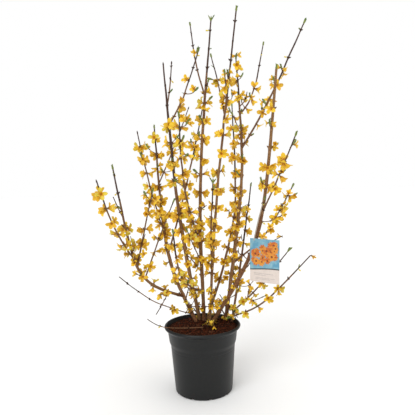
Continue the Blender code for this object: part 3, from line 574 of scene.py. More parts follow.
# %% The plan of the shoots
# A cane starts at foot (x, y) on the compost, a side shoot at a share of its parent's length. knee is
# the (x, z) it bends towards, tip its (x, y, z) end, butt its radius in millimetres at the start, bare
# the share with no flowers near its foot, bloom the stretch in flower, flush the share of joints in flower
# there.
Shoot = namedtuple("Shoot", "parent start knee tip butt bare bloom flush")
PLAN = {
    "back_left": Shoot(
        None, (-0.022, 0.054), (-0.125, 0.397), (-0.155, 0.16, 0.885), 6.3, 0.2, (0.22, 1.0), 0.9
    ),
    "left": Shoot(None, (-0.01, 0.07), (-0.066, 0.554), (-0.09, -0.13, 1.025), 6.3, 0.17, (0.19, 0.8), 0.9),
    "middle": Shoot(
        None, (0.005, 0.06), (-0.003, 0.646), (0.055, -0.03, 1.185), 6.3, 0.14, (0.16, 0.76), 0.85
    ),
    "tallest": Shoot(None, (0.024, 0.04), (0.055, 0.64), (0.13, -0.09, 1.19), 4.6, 0.15, (0.17, 0.84), 0.9),
    "right_middle": Shoot(
        None, (0.078, 0.056), (0.16, 0.705), (0.14, 0.14, 1.115), 6.3, 0.15, (0.17, 0.97), 0.9
    ),
    "right": Shoot(None, (0.028, 0.012), (0.194, 0.484), (0.235, -0.15, 1.0), 6.2, 0.55, (0.59, 0.95), 0.5),
    "back": Shoot(None, (0.016, 0.074), (0.14, 0.541), (0.13, 0.27, 0.975), 4.2, 0.16, (0.18, 1.0), 0.85),
    "low_right": Shoot(None, (0.098, 0.036), (0.148, 0.435), (0.19, 0.2, 0.67), 4.0, 0.15, (0.18, 0.8), 0.8),
    "thin_left": Shoot(
        "back_left", 0.035, (-0.165, 0.285), (-0.26, -0.03, 0.38), 1.8, 0.0, (0.24, 0.32), 1.0
    ),
    "creeping": Shoot(
        None, (0.002, -0.024), (-0.125, 0.2125), (-0.17, -0.06, 0.25), 1.5, 0.0, (0.0, 0.0), 0.0
    ),
    "arch_left": Shoot("back_left", 0.13, (-0.205, 0.36), (-0.25, -0.12, 0.73), 5.0, 0.1, (0.14, 0.84), 0.95),
    "outer_left": Shoot("arch_left", 0.45, (-0.245, 0.53), (-0.28, -0.2, 0.69), 2.8, 0.0, (0.1, 0.92), 0.8),
    "arch_stub": Shoot("arch_left", 0.7, (-0.24, 0.6), (-0.25, -0.12, 0.635), 1.8, 0.0, (0.3, 0.9), 0.6),
    "inner_left": Shoot("arch_left", 0.4, (-0.17, 0.535), (-0.14, -0.04, 0.66), 2.8, 0.0, (0.12, 1.0), 1.0),
    "rear_left": Shoot("arch_left", 0.31, (-0.14, 0.485), (-0.085, 0.1, 0.62), 2.6, 0.0, (0.15, 0.9), 0.7),
    "left_whip": Shoot("arch_left", 0.12, (-0.123, 0.291), (-0.14, -0.08, 0.27), 1.5, 0.0, (0.0, 0.0), 0.0),
    "upper_left": Shoot("back_left", 0.44, (-0.165, 0.65), (-0.2, 0.05, 0.855), 2.8, 0.0, (0.12, 0.88), 0.85),
    "back_mid": Shoot("back_left", 0.7, (-0.1, 0.78), (-0.03, 0.25, 0.965), 2.4, 0.0, (0.15, 1.0), 0.9),
    "back_right": Shoot("back_left", 0.35, (-0.045, 0.66), (0.045, 0.19, 1.05), 3.2, 0.0, (0.25, 0.84), 0.7),
    "left_fork": Shoot("left", 0.85, (-0.075, 0.965), (-0.07, -0.05, 1.05), 2.2, 0.0, (0.0, 0.0), 0.0),
    "left_arm": Shoot("left", 0.78, (-0.035, 0.935), (0.015, 0.0, 1.1), 2.6, 0.0, (0.12, 0.62), 0.7),
    "middle_fork": Shoot("middle", 0.75, (0.0, 1.06), (-0.015, 0.08, 1.21), 2.6, 0.0, (0.05, 0.25), 0.6),
    "front_left": Shoot("middle", 0.26, (-0.045, 0.65), (-0.045, -0.2, 0.865), 3.2, 0.0, (0.12, 1.0), 0.95),
    "low_front": Shoot("middle", 0.21, (-0.02, 0.47), (-0.04, -0.09, 0.535), 2.0, 0.0, (0.2, 0.9), 0.7),
    "middle_spur": Shoot("middle", 0.17, (-0.03, 0.43), (-0.048, -0.062, 0.455), 1.8, 0.0, (0.3, 1.0), 0.8),
    "low_arch": Shoot("middle", 0.1, (-0.065, 0.375), (-0.07, -0.22, 0.545), 3.2, 0.0, (0.12, 1.0), 1.0),
    "tall_fork": Shoot("tallest", 0.71, (0.09, 0.955), (0.085, -0.17, 0.985), 2.0, 0.0, (0.2, 1.0), 1.0),
    "tall_left": Shoot("tallest", 0.68, (0.07, 0.995), (0.05, 0.03, 1.09), 2.2, 0.0, (0.35, 0.95), 0.7),
    "front_right": Shoot("tallest", 0.16, (0.035, 0.52), (0.045, -0.17, 0.68), 2.8, 0.0, (0.15, 0.75), 0.9),
    "right_arm": Shoot("right_middle", 0.77, (0.205, 0.98), (0.25, 0.22, 1.185), 2.8, 0.0, (0.12, 0.5), 0.9),
    "right_stub": Shoot("right_middle", 0.8, (0.17, 0.95), (0.172, 0.09, 0.975), 2.0, 0.0, (0.0, 0.0), 0.0),
    "right_spray": Shoot(
        "right_middle", 0.68, (0.145, 0.865), (0.125, 0.21, 0.93), 2.0, 0.0, (0.2, 1.0), 1.0
    ),
    "far_right": Shoot("right_middle", 0.64, (0.235, 0.92), (0.355, 0.0, 1.18), 3.4, 0.0, (0.12, 0.7), 0.85),
    "arm_twig": Shoot("far_right", 0.28, (0.215, 0.905), (0.215, 0.04, 0.925), 1.4, 0.0, (0.0, 0.0), 0.0),
    "label_twig": Shoot("right_middle", 0.21, (0.23, 0.475), (0.34, 0.17, 0.66), 3.0, 0.0, (0.25, 1.0), 0.9),
    "label_bud": Shoot("label_twig", 0.35, (0.24, 0.465), (0.27, 0.02, 0.49), 1.5, 0.0, (0.9, 1.0), 1.0),
    "outer_right": Shoot("right", 0.49, (0.235, 0.695), (0.265, -0.27, 0.795), 2.4, 0.0, (0.2, 1.0), 0.8),
    "low_sweep": Shoot("low_right", 0.035, (0.192, 0.26), (0.349, -0.03, 0.431), 2.8, 0.0, (0.15, 0.62), 0.9),
    "low_mid": Shoot("low_right", 0.075, (0.178, 0.297), (0.303, 0.06, 0.444), 2.6, 0.0, (0.15, 0.5), 0.8),
    "rim_tuft": Shoot("low_right", 0.055, (0.104, 0.24), (0.106, -0.04, 0.24), 1.6, 0.0, (0.35, 1.0), 1.0),
    "low_twig": Shoot("low_mid", 0.2, (0.168, 0.28), (0.208, -0.03, 0.309), 1.4, 0.0, (0.4, 0.8), 0.5),
}

# %% Grow the shoots
KNEE_DEPTH_SHARE = 0.58
TIP_BASE, TIP_SHARE_OF_BUTT, TIP_LIMITS = 0.0008, 0.33, (0.0011, 0.0020)
BLUNT_TIPS = {"right": 0.0033}
TAPER_POWER = 1.7
FLARE, FLARE_LENGTH = 0.12, 0.030
CANE_INTERNODE, TWIG_INTERNODE = 0.056, 0.046
BUD_LENGTH = 0.022
STOUT_MM = 4.0
BUD_REACH, MOST_BUD = 0.8, 0.4
WOBBLE, WOBBLE_CELL = 0.0016, 0.055
FINE_STEPS = 600
TANGENT_REACH = 0.006
# No joint is nearer than this to a shoot's start, and a shoot left with none has one at this share.
FIRST_JOINT, LONE_JOINT = 0.012, 0.6
LEAST_FLARED = 0.003


def bend(start, knee, tip, t):
    """(1-t)^3 start + 3t(1-t) knee + t^3 tip: it leaves start towards knee and comes to tip from knee."""
    t = np.asarray(t)[..., None]
    return (1 - t) ** 3 * start + 3 * t * (1 - t) * knee + t**3 * tip


class Limb:
    """A shoot's centre line, its radius and its joints, all by the share of its length."""

    def __init__(self, name, row, start, seed):
        tip = np.array(row.tip)
        knee = np.array((row.knee[0], start[1] + KNEE_DEPTH_SHARE * (tip[1] - start[1]), row.knee[1]))
        self.name, self.row, self.seed = name, row, seed
        self.stout = row.butt > STOUT_MM
        line = bend(start, knee, tip, np.linspace(0, 1, FINE_STEPS))
        run = np.concatenate(([0], np.cumsum(np.linalg.norm(np.diff(line, axis=0), axis=1))))
        self.length, self.shares = run[-1], run / run[-1]
        # The wobble fades out at both ends, so that foot and tip stay where the plan has them.
        fade = np.sin(math.pi * self.shares)[:, None] ** 0.5
        along = run[:, None] * (1, 0, 0)
        slow = np.stack([noise_at(along, WOBBLE_CELL, seed + 40 * k) for k in range(3)], axis=1)
        self.line = line + WOBBLE * fade * slow
        self.internode = (CANE_INTERNODE if self.stout else TWIG_INTERNODE) / self.length
        self.bud_share = 1 - min(BUD_LENGTH * BUD_REACH / self.length, MOST_BUD)
        first = row.bloom[0] % self.internode
        self.joints = np.arange(first, self.bud_share, self.internode)
        self.joints = self.joints[self.joints * self.length > FIRST_JOINT]
        if len(self.joints) == 0:
            self.joints = np.array([LONE_JOINT])

    def at(self, share):
        """The point of its middle line at a share of its length."""
        return np.stack([np.interp(share, self.shares, self.line[:, k]) for k in range(3)], axis=-1)

    def tangent(self, share):
        """Which way it grows at a share: from a little behind it to a little ahead."""
        ahead = self.at(np.minimum(1.0, np.add(share, TANGENT_REACH)))
        behind = self.at(np.maximum(0.0, np.subtract(share, TANGENT_REACH)))
        way = ahead - behind
        return way / np.linalg.norm(way, axis=-1, keepdims=True)

    def radius(self, share):
        """The butt's radius thins to the tip's by the 1.7th power of the share. A cane flares at its foot."""
        share = np.asarray(share)
        butt = self.row.butt * MM
        usual = float(np.clip(TIP_BASE + TIP_SHARE_OF_BUTT * butt, *TIP_LIMITS))
        tip = min(BLUNT_TIPS.get(self.name, usual), butt)
        radius = tip + (butt - tip) * (1 - np.clip(share, 0, 1) ** TAPER_POWER)
        if self.row.parent is None and butt > LEAST_FLARED:
            radius = radius * (1 + FLARE * np.exp(-np.abs(share) * self.length / FLARE_LENGTH * 2))
        return radius


limbs = {}
for seed, (name, row) in enumerate(PLAN.items()):
    if row.parent:
        start = limbs[row.parent].at(row.start)
    else:
        # The creeping twig lies on the compost, so its middle line starts as high as its own radius.
        start = np.array((*row.start, SOIL_TOP + row.butt * MM * (name == "creeping")))
    limbs[name] = Limb(name, row, start, seed)
print(len(limbs), "shoots,", round(sum(limb.length for limb in limbs.values()), 2), "m of wood")

# %% Finer twigs, by the same rule
# Between its long shoots a forsythia carries spurs from one to nine centimetres long. They grow from
# one of a joint's two buds, slope the way their shoot grows, and those low down are mostly dead or bare.
SPUR_SHARE = {"low": 0.85, "bloom": 0.42, "top": 0.08}
SPUR_LENGTHS = {"low": (0.020, 0.085), "bloom": (0.012, 0.045), "top": (0.010, 0.025)}
SPUR_BLOOM = {"low": 0.35, "bloom": 0.75, "top": 0.35}
SPUR_BUTT_MM = (1.0, 1.5)
LEAST_BEARING_LENGTH, LEAST_BEARING_MM = 0.2, 2.0
FIRST_SPUR_SEED = 50
AHEAD = np.array((0.31, 0.95, 0.05))


def joint_angle(order):
    """Which way a joint's pair of buds points, round the limb: every second one is a quarter turn on."""
    return math.pi / 2 * (order % 2)


def ring_frames(tangent):
    """Two directions square to each tangent: its cross product with one fixed line, and with the result."""
    side = np.cross(tangent, AHEAD)
    side /= np.linalg.norm(side, axis=-1, keepdims=True)
    return side, np.cross(tangent, side)


def spurs_of(limb):
    """Rows of the plan for one shoot's spurs: each ends out from its bud and on along the shoot by random
    shares of its own length."""
    rng = random.Random(f"{limb.name} spurs")
    rows = {}
    for order, share in enumerate(limb.joints):
        zone = "low" if share < limb.row.bloom[0] else "bloom" if share < limb.row.bloom[1] else "top"
        too_small = limb.length < LEAST_BEARING_LENGTH or limb.row.butt < LEAST_BEARING_MM
        if too_small or rng.random() > SPUR_SHARE[zone]:
            continue
        tangent = limb.tangent(share)
        side, over = ring_frames(tangent)
        angle = joint_angle(order) + math.pi * rng.randrange(2) + rng.uniform(-0.5, 0.5)
        out = math.cos(angle) * side + math.sin(angle) * over
        length = rng.uniform(*SPUR_LENGTHS[zone])
        foot = limb.at(share)
        knee = foot + length * (0.55 * out + rng.uniform(0.1, 0.4) * tangent)
        tip = foot + length * (rng.uniform(0.5, 0.8) * out + rng.uniform(0.45, 0.9) * tangent)
        bloom = (0.80, 1.0) if rng.random() < SPUR_BLOOM[zone] else (0.0, 0.0)
        butt = rng.uniform(*SPUR_BUTT_MM)
        rows[f"{limb.name} spur {order}"] = Shoot(
            limb.name, share, (knee[0], knee[2]), tuple(tip), butt, 0.0, bloom, 1.0
        )
    return rows


# These few are where the picture has them: stubs low on the canes, and flowers on the compost, over the
# pot's rim and at the ends of two low twigs on the right.
LOW_SPURS = {
    "old stub": Shoot("back_left", 0.06, (-0.056, 0.274), (-0.0434, 0.03, 0.324), 2.6, 0.0, (0.0, 0.0), 0.0),
    "right-hand stub": Shoot(
        "low_mid", 0.22, (0.155, 0.3), (0.1645, 0.045, 0.327), 2.2, 0.0, (0.0, 0.0), 0.0
    ),
    "sweep end": Shoot("low_sweep", 0.985, (0.353, 0.432), (0.353, -0.03, 0.426), 1.1, 0.0, (0.6, 1.0), 1.0),
    "label end": Shoot("label_bud", 0.9, (0.268, 0.489), (0.27, 0.014, 0.486), 1.1, 0.0, (0.6, 1.0), 1.0),
    "front cluster": Shoot("right", 0.05, (0.042, 0.246), (0.045, -0.016, 0.248), 1.4, 0.0, (0.4, 1.0), 1.0),
    "front upper": Shoot("right", 0.09, (0.04, 0.268), (0.038, -0.006, 0.272), 1.4, 0.0, (0.6, 1.0), 1.0),
    "left stub": Shoot("left", 0.02, (-0.022, 0.235), (-0.03, 0.058, 0.25), 2.2, 0.0, (0.0, 0.0), 0.0),
    "front stub": Shoot("right", 0.012, (0.016, 0.214), (0.006, 0.006, 0.226), 2.4, 0.0, (0.0, 0.0), 0.0),
    "far stub": Shoot("right_middle", 0.015, (0.068, 0.232), (0.062, 0.07, 0.262), 2.4, 0.0, (0.0, 0.0), 0.0),
    "foot flower": Shoot("right", 0.02, (0.02, 0.224), (0.015, -0.04, 0.217), 1.3, 0.0, (0.9, 1.0), 1.0),
    "foot bud": Shoot("right", 0.02, (0.036, 0.224), (0.036, -0.04, 0.219), 1.0, 0.0, (0.0, 0.0), 1.0),
    "rim left": Shoot("low_right", 0.02, (0.092, 0.232), (0.088, -0.01, 0.23), 1.3, 0.0, (0.7, 1.0), 1.0),
    "rim right": Shoot("low_right", 0.03, (0.106, 0.236), (0.116, 0.004, 0.229), 1.3, 0.0, (0.7, 1.0), 1.0),
    "rim far": Shoot("low_right", 0.04, (0.104, 0.24), (0.112, 0.03, 0.236), 1.3, 0.0, (0.7, 1.0), 1.0),
}
spur_plan = {}
for limb in limbs.values():
    spur_plan.update(spurs_of(limb))
spur_plan.update(LOW_SPURS)
spurs = {}
for seed, (name, row) in enumerate(spur_plan.items(), FIRST_SPUR_SEED):
    spurs[name] = Limb(name, row, limbs[row.parent].at(row.start), seed)
print(len(spurs), "spurs")

# %% [markdown]
# ## Bark
#
# A limb is a circle carried along its line, thinning as it goes. Three things make it read as wood and
# not as wire: it swells at each joint, where two buds sit opposite each other, every second pair at right
# angles to the last; it has low ridges that run from joint to joint; and it is dotted with corky warts.
# All three are added to the radius as functions of the way round and the way along.

# %% Relief, as a share of the radius and in millimetres
JOINT_SWELL_MM = 1.05
JOINT_REACH = 0.0042
# The swelling is shorter above its joint than below it, and the relief is right for wood of USUAL_RADIUS.
ABOVE_JOINT, BELOW_JOINT = 0.7, 1.25
USUAL_RADIUS = 0.004
REACH_LIMITS, SWELL_LIMITS, SIZE_LIMITS = (0.6, 1.3), (1.0, 1.8), (0.45, 1.25)
ROUND_SWELL, BUD_SIDE_SWELL = 0.62, 0.38
RIDGES, RIDGE_HEIGHT, RIDGE_WANDER, WANDER_LENGTH = 4, 0.045, 1.5, 0.06
LINES, LINE_HEIGHT, LINE_LENGTH = 9, 0.02, 0.011
WART_MM, WART_CELL, WART_FROM, WART_STEEPNESS, WART_STRETCH = 0.42, 0.0021, 0.42, 1.7, 0.6
UNEVEN, UNEVEN_CELL = 0.06, 0.009


def bark_radius(limb, share, angle):
    """The radius at each share (down) and angle (across): the plain taper, a swelling at the nearest joint
    that is higher on its two bud sides, four low ridges, nine fine lines, slow unevenness and warts."""
    plain = limb.radius(share)[:, None]
    along = (share * limb.length)[:, None]
    order = np.abs(share[:, None] - limb.joints).argmin(axis=1)
    away = (share - limb.joints[order]) * limb.length
    reach = JOINT_REACH * np.where(away > 0, ABOVE_JOINT, BELOW_JOINT)
    reach = reach * np.clip(limb.radius(share) / USUAL_RADIUS, *REACH_LIMITS)
    from_bud = angle - joint_angle(order)[:, None]
    swell = np.exp(-((away / reach) ** 2))[:, None] * (ROUND_SWELL + BUD_SIDE_SWELL * np.cos(2 * from_bud))
    swell = swell * np.clip(USUAL_RADIUS / plain, *SWELL_LIMITS)
    size = np.clip(plain / USUAL_RADIUS, *SIZE_LIMITS)
    ridges = RIDGE_HEIGHT * np.cos(RIDGES * angle + RIDGE_WANDER * np.sin(along / WANDER_LENGTH))
    ridges = ridges + LINE_HEIGHT * np.cos(LINES * angle + along / LINE_LENGTH)
    skin = (plain * np.cos(angle), plain * np.sin(angle), along * WART_STRETCH)
    skin = np.stack(np.broadcast_arrays(*skin), axis=-1)
    warts = np.clip(noise_at(skin, WART_CELL, limb.seed) - WART_FROM, 0, 1) * WART_STEEPNESS
    uneven = UNEVEN * noise_at(skin, UNEVEN_CELL, limb.seed + 5)
    return plain * (1 + ridges + uneven) + MM * (JOINT_SWELL_MM * swell + WART_MM * warts) * size

# %% Carry the ring along every limb
CUT_SHOOTS = (
    "arch_stub", "right_stub", "low_sweep", "old stub", "right-hand stub", "left stub", "front stub",
    "far stub", "foot flower", "rim right", "sweep end", "label end", "front cluster", "front upper",
)
DEAD_MM, DEAD_BELOW = 1.9, 0.6
# Most tips are still folded round their bud, those of a few shoots have begun to open, and a few are brown.
OPEN_TIPS = ("middle", "low_mid", "rim left", "rim far", "front_right")
BROWN_TIPS = ("left", "left_fork", "back_mid", "outer_left", "upper_left")
CANE_SUNK = 0.009
BUD_OVERLAP = 0.004
TIP_DOME = 0.0006
FEWEST_RINGS = 6


def has_green_tip(limb):
    """Whether a shoot ends in a living bud. Thin twigs low down are dead, apart from those in OPEN_TIPS."""
    alive = limb.row.butt > DEAD_MM or limb.at(1.0)[2] > DEAD_BELOW
    return limb.name in OPEN_TIPS or alive and limb.name not in CUT_SHOOTS


def limb_surface(limb, sides, spacing):
    """Points and faces of a limb from just inside what it grows from to its tip, and the share of its
    length at which each of its rings stands."""
    sunk = CANE_SUNK if limb.row.parent is None and limb.stout else 0.0
    end = min(1.0, limb.bud_share + BUD_OVERLAP / limb.length) if has_green_tip(limb) else 1.0
    share = np.linspace(-sunk / limb.length, end, max(FEWEST_RINGS, round(limb.length / spacing)))
    angle = 2 * math.pi * np.arange(sides) / sides
    side, over = ring_frames(limb.tangent(np.maximum(share, 0)))
    centre = limb.at(share) + np.minimum(share, 0)[:, None] * limb.length * np.array((0, 0, 1.0))
    out = np.cos(angle)[:, None] * side[:, None] + np.sin(angle)[:, None] * over[:, None]
    walls = centre[:, None] + bark_radius(limb, share, angle[None])[..., None] * out
    tip = centre[-1] + limb.tangent(end) * TIP_DOME
    points = np.concatenate((centre[:1], walls.reshape(-1, 3), [tip]))
    return points, tube_faces(len(share), sides), share


DARKER = {"left": 0.25, "back": 0.20, "tallest": 0.10, "low_right": 0.25, "right": -0.40}
BROWN_BELOW, BROWN_SHARE = 0.90, 0.20
# The shares of a limb's length at which its bark changes, on a cane and on a side shoot.
CANE_STEPS, SHOOT_STEPS = (0.07, 0.66, 0.82), (-1.0, -0.6, 0.55)
EDGE_WANDER, EDGE_CELL = 0.03, 0.05
JOINT_BARK = 0.0022
BLOOM_MARGIN = 0.02


def bark_of(limb, share):
    """Which bark a stretch of limb has: corky at a cane's foot, tan above, red-brown on shoots, dark at the
    ends. Bare joints are darker still. Some canes are darker all along, and the old right-hand one paler.
    Shoots that end low down are older wood, brown nearly to their tips."""
    along = (share * limb.length)[:, None] * (1, 0, 0)
    edge = EDGE_WANDER * noise_at(along, EDGE_CELL, limb.seed + 9)
    steps = CANE_STEPS if limb.stout else SHOOT_STEPS
    browner = BROWN_SHARE * (not limb.stout and limb.line[-1, 2] < BROWN_BELOW)
    kind = np.searchsorted(steps, share + edge + DARKER.get(limb.name, 0.0) - browner)
    near_joint = np.abs(share[:, None] - limb.joints).min(axis=1) * limb.length < JOINT_BARK
    in_flower = (share > limb.row.bloom[0] - BLOOM_MARGIN) & (share < limb.row.bloom[1])
    return np.where(near_joint & (kind >= SHOOT) & ~in_flower, JOINT, kind)


def bark_piece(name, group, sides, spacing):
    """All limbs of one group as one mesh: first all their walls, then the two closed ends of each."""
    points, walls, ends, kinds, total = [], [], [], [], 0
    for limb in group:
        some, (quads, *fans), share = limb_surface(limb, sides, spacing)
        points.append(some)
        walls.append(quads + total)
        ends.append(np.concatenate(fans) + total)
        kinds.append(np.repeat(bark_of(limb, share)[:-1], sides))
        total += len(some)
    kinds.append(np.full(sum(map(len, ends)), TWIG))
    made = add_piece(name, np.concatenate(points), walls + ends, BARKS, np.concatenate(kinds), sharp_deg=70)
    return made


stout = [limb for limb in limbs.values() if limb.stout]
slim = [limb for limb in limbs.values() if not limb.stout]
cane_bark = bark_piece("cane_bark", stout, 16, 0.0023)
shoot_bark = bark_piece("side_shoot_bark", slim, 10, 0.0026)
bark_piece("spur_bark", list(spurs.values()), 7, 0.0026)
cane_nodes = [name for name in frame["nodes"] if name.startswith("cane_")]
spray_nodes = [name for name in frame["nodes"] if name.startswith("spray_")]
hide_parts(*cane_nodes)
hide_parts(*spray_nodes)

# %% [markdown]
# ## Flowers
#
# A forsythia flower is a short tube that opens into four narrow lobes, held by four small green sepals on
# a short stalk. It could be modelled once and copied, but no two of them open alike, so every lobe is
# worked out on its own: a strip along a line that leans further from the flower's axis as it goes out,
# folded along its middle, twisted a little and thin at its rim. All lobes of all flowers are one array.

# %% Both sides of a blade
def blade_faces(rows, columns):
    """A whole grid for the upper side, and a lower side that shares its rim: so the blade is closed."""
    upper = np.arange(rows * columns).reshape(rows, columns)
    lower = upper.copy()
    lower[1:-1, 1:-1] = rows * columns + np.arange((rows - 2) * (columns - 2)).reshape(rows - 2, columns - 2)
    sides = [
        np.stack((grid[:-1, :-1], grid[:-1, 1:], grid[1:, 1:], grid[1:, :-1]), axis=-1).reshape(-1, 4)
        for grid in (upper, lower)
    ]
    return np.concatenate((sides[0][:, ::-1], sides[1]))


def faces_of_blades(points, rows, columns):
    """The faces of every blade in an array of blades' points."""
    return repeated(blade_faces(rows, columns), len(points), points.shape[1])


def blades(count, rows, columns, length, width, lean, curl, fold, twist, thick, foot, start):
    """Points of many blades. Each runs up the Z axis and leans out along X by an angle lean + curl s, so its
    middle line is the running sum of (sin, cos) of that angle. s goes from 0 at its foot to 1 at its tip.
    Its width is width times (s + foot)^0.5 (1 - s^4)^0.55. fold lifts its edges, and twist turns it about
    its line."""
    s = np.linspace(0, 1, rows)
    c = np.linspace(-1, 1, columns)
    values = (length, width, lean, curl, fold, twist)
    values = [np.broadcast_to(np.asarray(value, float), (count,))[:, None] for value in values]
    length, width, lean, curl, fold, twist = values
    angle = lean + curl * s
    step = length / (rows - 1)
    middle = angle[:, :-1] + np.diff(angle, axis=1) / 2
    nought = np.zeros((count, 1))
    steps = (np.sin(middle) * step, np.cos(middle) * step)
    out, rise = (np.concatenate((nought, np.cumsum(way, axis=1)), axis=1) for way in steps)
    line = np.stack((out + start[0], 0 * out, rise + start[1]), axis=-1)
    inward = np.stack((-np.cos(angle), 0 * angle, np.sin(angle)), axis=-1)
    across = np.broadcast_to((0.0, 1.0, 0.0), inward.shape)
    turn = (twist * s)[..., None]
    side = np.cos(turn) * across + np.sin(turn) * inward
    up = np.cos(turn) * inward - np.sin(turn) * across
    half = (width / 2 * (s + foot) ** 0.5 * np.maximum(1 - s**4, 0.008) ** 0.55)[..., None, None]
    lifted = fold[..., None, None] * c[:, None] ** 2 * half * up[:, :, None]
    grid = line[:, :, None] + c[:, None] * half * side[:, :, None] + lifted
    below = (grid - thick * up[:, :, None])[:, 1:-1, 1:-1]
    return np.concatenate((grid.reshape(count, -1, 3), below.reshape(count, -1, 3)), axis=1)


def turned_about_z(points, angle):
    """Each blade turned round the flower's axis by its own angle."""
    c, s = np.cos(angle)[:, None], np.sin(angle)[:, None]
    x, y, z = points[..., 0], points[..., 1], points[..., 2]
    return np.stack((c * x - s * y, s * x + c * y, z), axis=-1)

# %% [markdown]
# ## Where the flowers stand
#
# The rule that placed the solid blossoms places the flowers: at each joint of the flowering stretch, one
# or two a side, each pair a quarter turn on from the last, and none where it would meet other wood. A real
# joint bears more than the solids could, so up to three more are added, turned well away from the first,
# and the fewest of them high in the crown.

# %% Room for a flower
BALL_HEIGHT, BALL = 0.0140, 0.0155
TRIES = 4
LEAST_TURN = math.cos(math.radians(95))
MORE_TURN = math.cos(math.radians(58))
# How near a ball may come to wood and to the compost, as shares of its radius, and to the strap in metres.
WOOD_CLEAR, SOIL_CLEAR = 0.55, 0.7
STRAP_CLEAR = 0.012
# No ball lies lower than the pot's lip farther from the pot's axis than this.
LIP_REACH = 0.08
CARD_YAW_DEG = -36.0
CARD_LEAN_DEG = 1.5
CARD_WIDTH, CARD_HEIGHT = 0.098, 0.130
CARD_CENTRE = np.array((0.191, -0.120, 0.4325))
CARD_CLEAR = 0.022
CARD_ROOM = (CARD_WIDTH / 2 + CARD_CLEAR, CARD_CLEAR, CARD_HEIGHT / 2 + CARD_CLEAR)
LOW, HIGH = 0.46, 0.86
LOW_SCALE, TWIG_SCALE, SHADED_SCALE = 0.62, 0.75, 0.88
TWIG_MM = 2.0
# The share of an upper joint's further flowers that is left out.
THINNED_ABOVE = 0.4
STRAP_SHARE = 0.525
card_turn = np.array(
    Matrix.Rotation(math.radians(CARD_YAW_DEG), 3, "Z") @ Matrix.Rotation(math.radians(CARD_LEAN_DEG), 3, "Y")
)
strap_place = limbs["right"].at(STRAP_SHARE)

shares = np.linspace(0, 1, 60)
wood_points = np.concatenate([limb.at(shares) for limb in limbs.values()])
wood_radii = np.concatenate([limb.radius(shares) for limb in limbs.values()])
wood_owner = np.repeat(np.arange(len(limbs)), len(shares))
every = {**limbs, **spurs}
relatives = {
    name: [
        k for k, other in enumerate(limbs.values())
        if other.name in (name, limb.row.parent) or other.row.parent == name
    ]
    for name, limb in every.items()
}


def is_free(centre, ball, name):
    """Whether a flower's ball is clear of other shoots, the compost, the pot's lip, the label and strap."""
    foreign = ~np.isin(wood_owner, relatives[name])
    gap = np.linalg.norm(wood_points[foreign] - centre, axis=1) - wood_radii[foreign]
    over_lip = centre[2] < POT_HEIGHT + ball and np.hypot(*centre[:2]) > LIP_REACH
    if gap.min() < ball * WOOD_CLEAR or centre[2] < SOIL_TOP + ball * SOIL_CLEAR or over_lip:
        return False
    if (np.abs(card_turn.T @ (centre - CARD_CENTRE)) < CARD_ROOM).all():
        return False
    return np.linalg.norm(centre - strap_place) > ball + STRAP_CLEAR


def blossom_way(limb, share, order, side, rng):
    """Out from one side of the joint, up to 55 degrees round from it and a little up or down the shoot."""
    tangent = limb.tangent(share)
    across = np.cross(tangent, (0.0, 0.0, 1.0) if abs(tangent[2]) < 0.9 else (0.0, 1.0, 0.0))
    across /= np.linalg.norm(across)
    other = np.cross(tangent, across)
    turn = math.radians(90 * (order % 2) + 180 * side + rng.uniform(-55, 55))
    lift = math.radians(rng.uniform(-30, 35))
    return math.cos(lift) * (math.cos(turn) * across + math.sin(turn) * other) + math.sin(lift) * tangent


def flower_scale(limb, height):
    """Flowers are small on the lowest spurs and on thin twigs, and smaller in the shade than in the light."""
    if limb.name in LOW_SPURS:
        return LOW_SCALE
    if limb.row.butt < TWIG_MM:
        return TWIG_SCALE
    return SHADED_SCALE if height < LOW else 1.0


def joint_flowers(limb, order, share):
    """The ways and sizes of one joint's flowers: those the solids have, then the further ones."""
    rng = random.Random(f"{limb.name} node {order}")
    flush = rng.random() < limb.row.flush
    count = rng.choice((2, 2, 3)) if limb.stout else rng.choice((1, 2, 2))
    more = random.Random(f"{limb.name} more {order}")
    height = limb.at(share)[2]
    extra = more.choice((1, 2, 3, 3)) if limb.stout else more.choice((1, 1, 2, 2))
    if height > HIGH:
        extra = more.choice((0, 0, 1))
    elif height < LOW:
        extra = max(0, extra - 1)
    if limb.name in spurs:
        count, extra = more.choice((1, 1, 2)), 0
    scale, low = flower_scale(limb, height), limb.name in LOW_SPURS
    found = []
    for k in range(count + extra):
        source, least = (rng, LEAST_TURN) if k < count else (more, MORE_TURN)
        if height > HIGH and k > 0 and more.random() < THINNED_ABOVE:
            continue
        size, spin = source.uniform(0.9, 1.12) * scale, source.uniform(0, math.pi / 2)
        for _ in range(TRIES):
            way = blossom_way(limb, share, order, k % 2, source)
            apart = all(way.dot(other) < least for other, *_ in found)
            centre = limb.at(share) + way * BALL_HEIGHT * size
            if low or flush and apart and is_free(centre, BALL * size, limb.name):
                found.append((way, size, spin))
                break
    return found

# %% Every flower's place
places = []
for limb in every.values():
    first, last = limb.row.bloom
    last = 1.0 if limb.name in spurs else min(last, limb.bud_share)
    count = int((last - first) / limb.internode + 1e-6) + 1 if last > first else 0
    for order in range(count):
        share = first + order * limb.internode
        for way, size, spin in joint_flowers(limb, order, share):
            places.append((*limb.at(share), *way, size, spin, float(limb.radius(share))))
places = np.array(places, float)
flower_count = len(places)
roots, ways = places[:, :3], places[:, 3:6]
sizes, spins, wood = places[:, 6], places[:, 7], places[:, 8]
print(flower_count, "flowers")

# %% Stalks hang a little, then the flower faces its own way
STALK_LENGTH, STALK_SHOWS = 0.0008, 0.9
HANG, SWAY = (0, 0, -0.22), 0.08
rng = np.random.default_rng(21)
ways = ways + HANG + rng.normal(0, SWAY, ways.shape)
ways /= np.linalg.norm(ways, axis=1, keepdims=True)
flower_roots = roots + ways * (wood + STALK_LENGTH * STALK_SHOWS)[:, None]
flower_turns = facing(ways, spins)

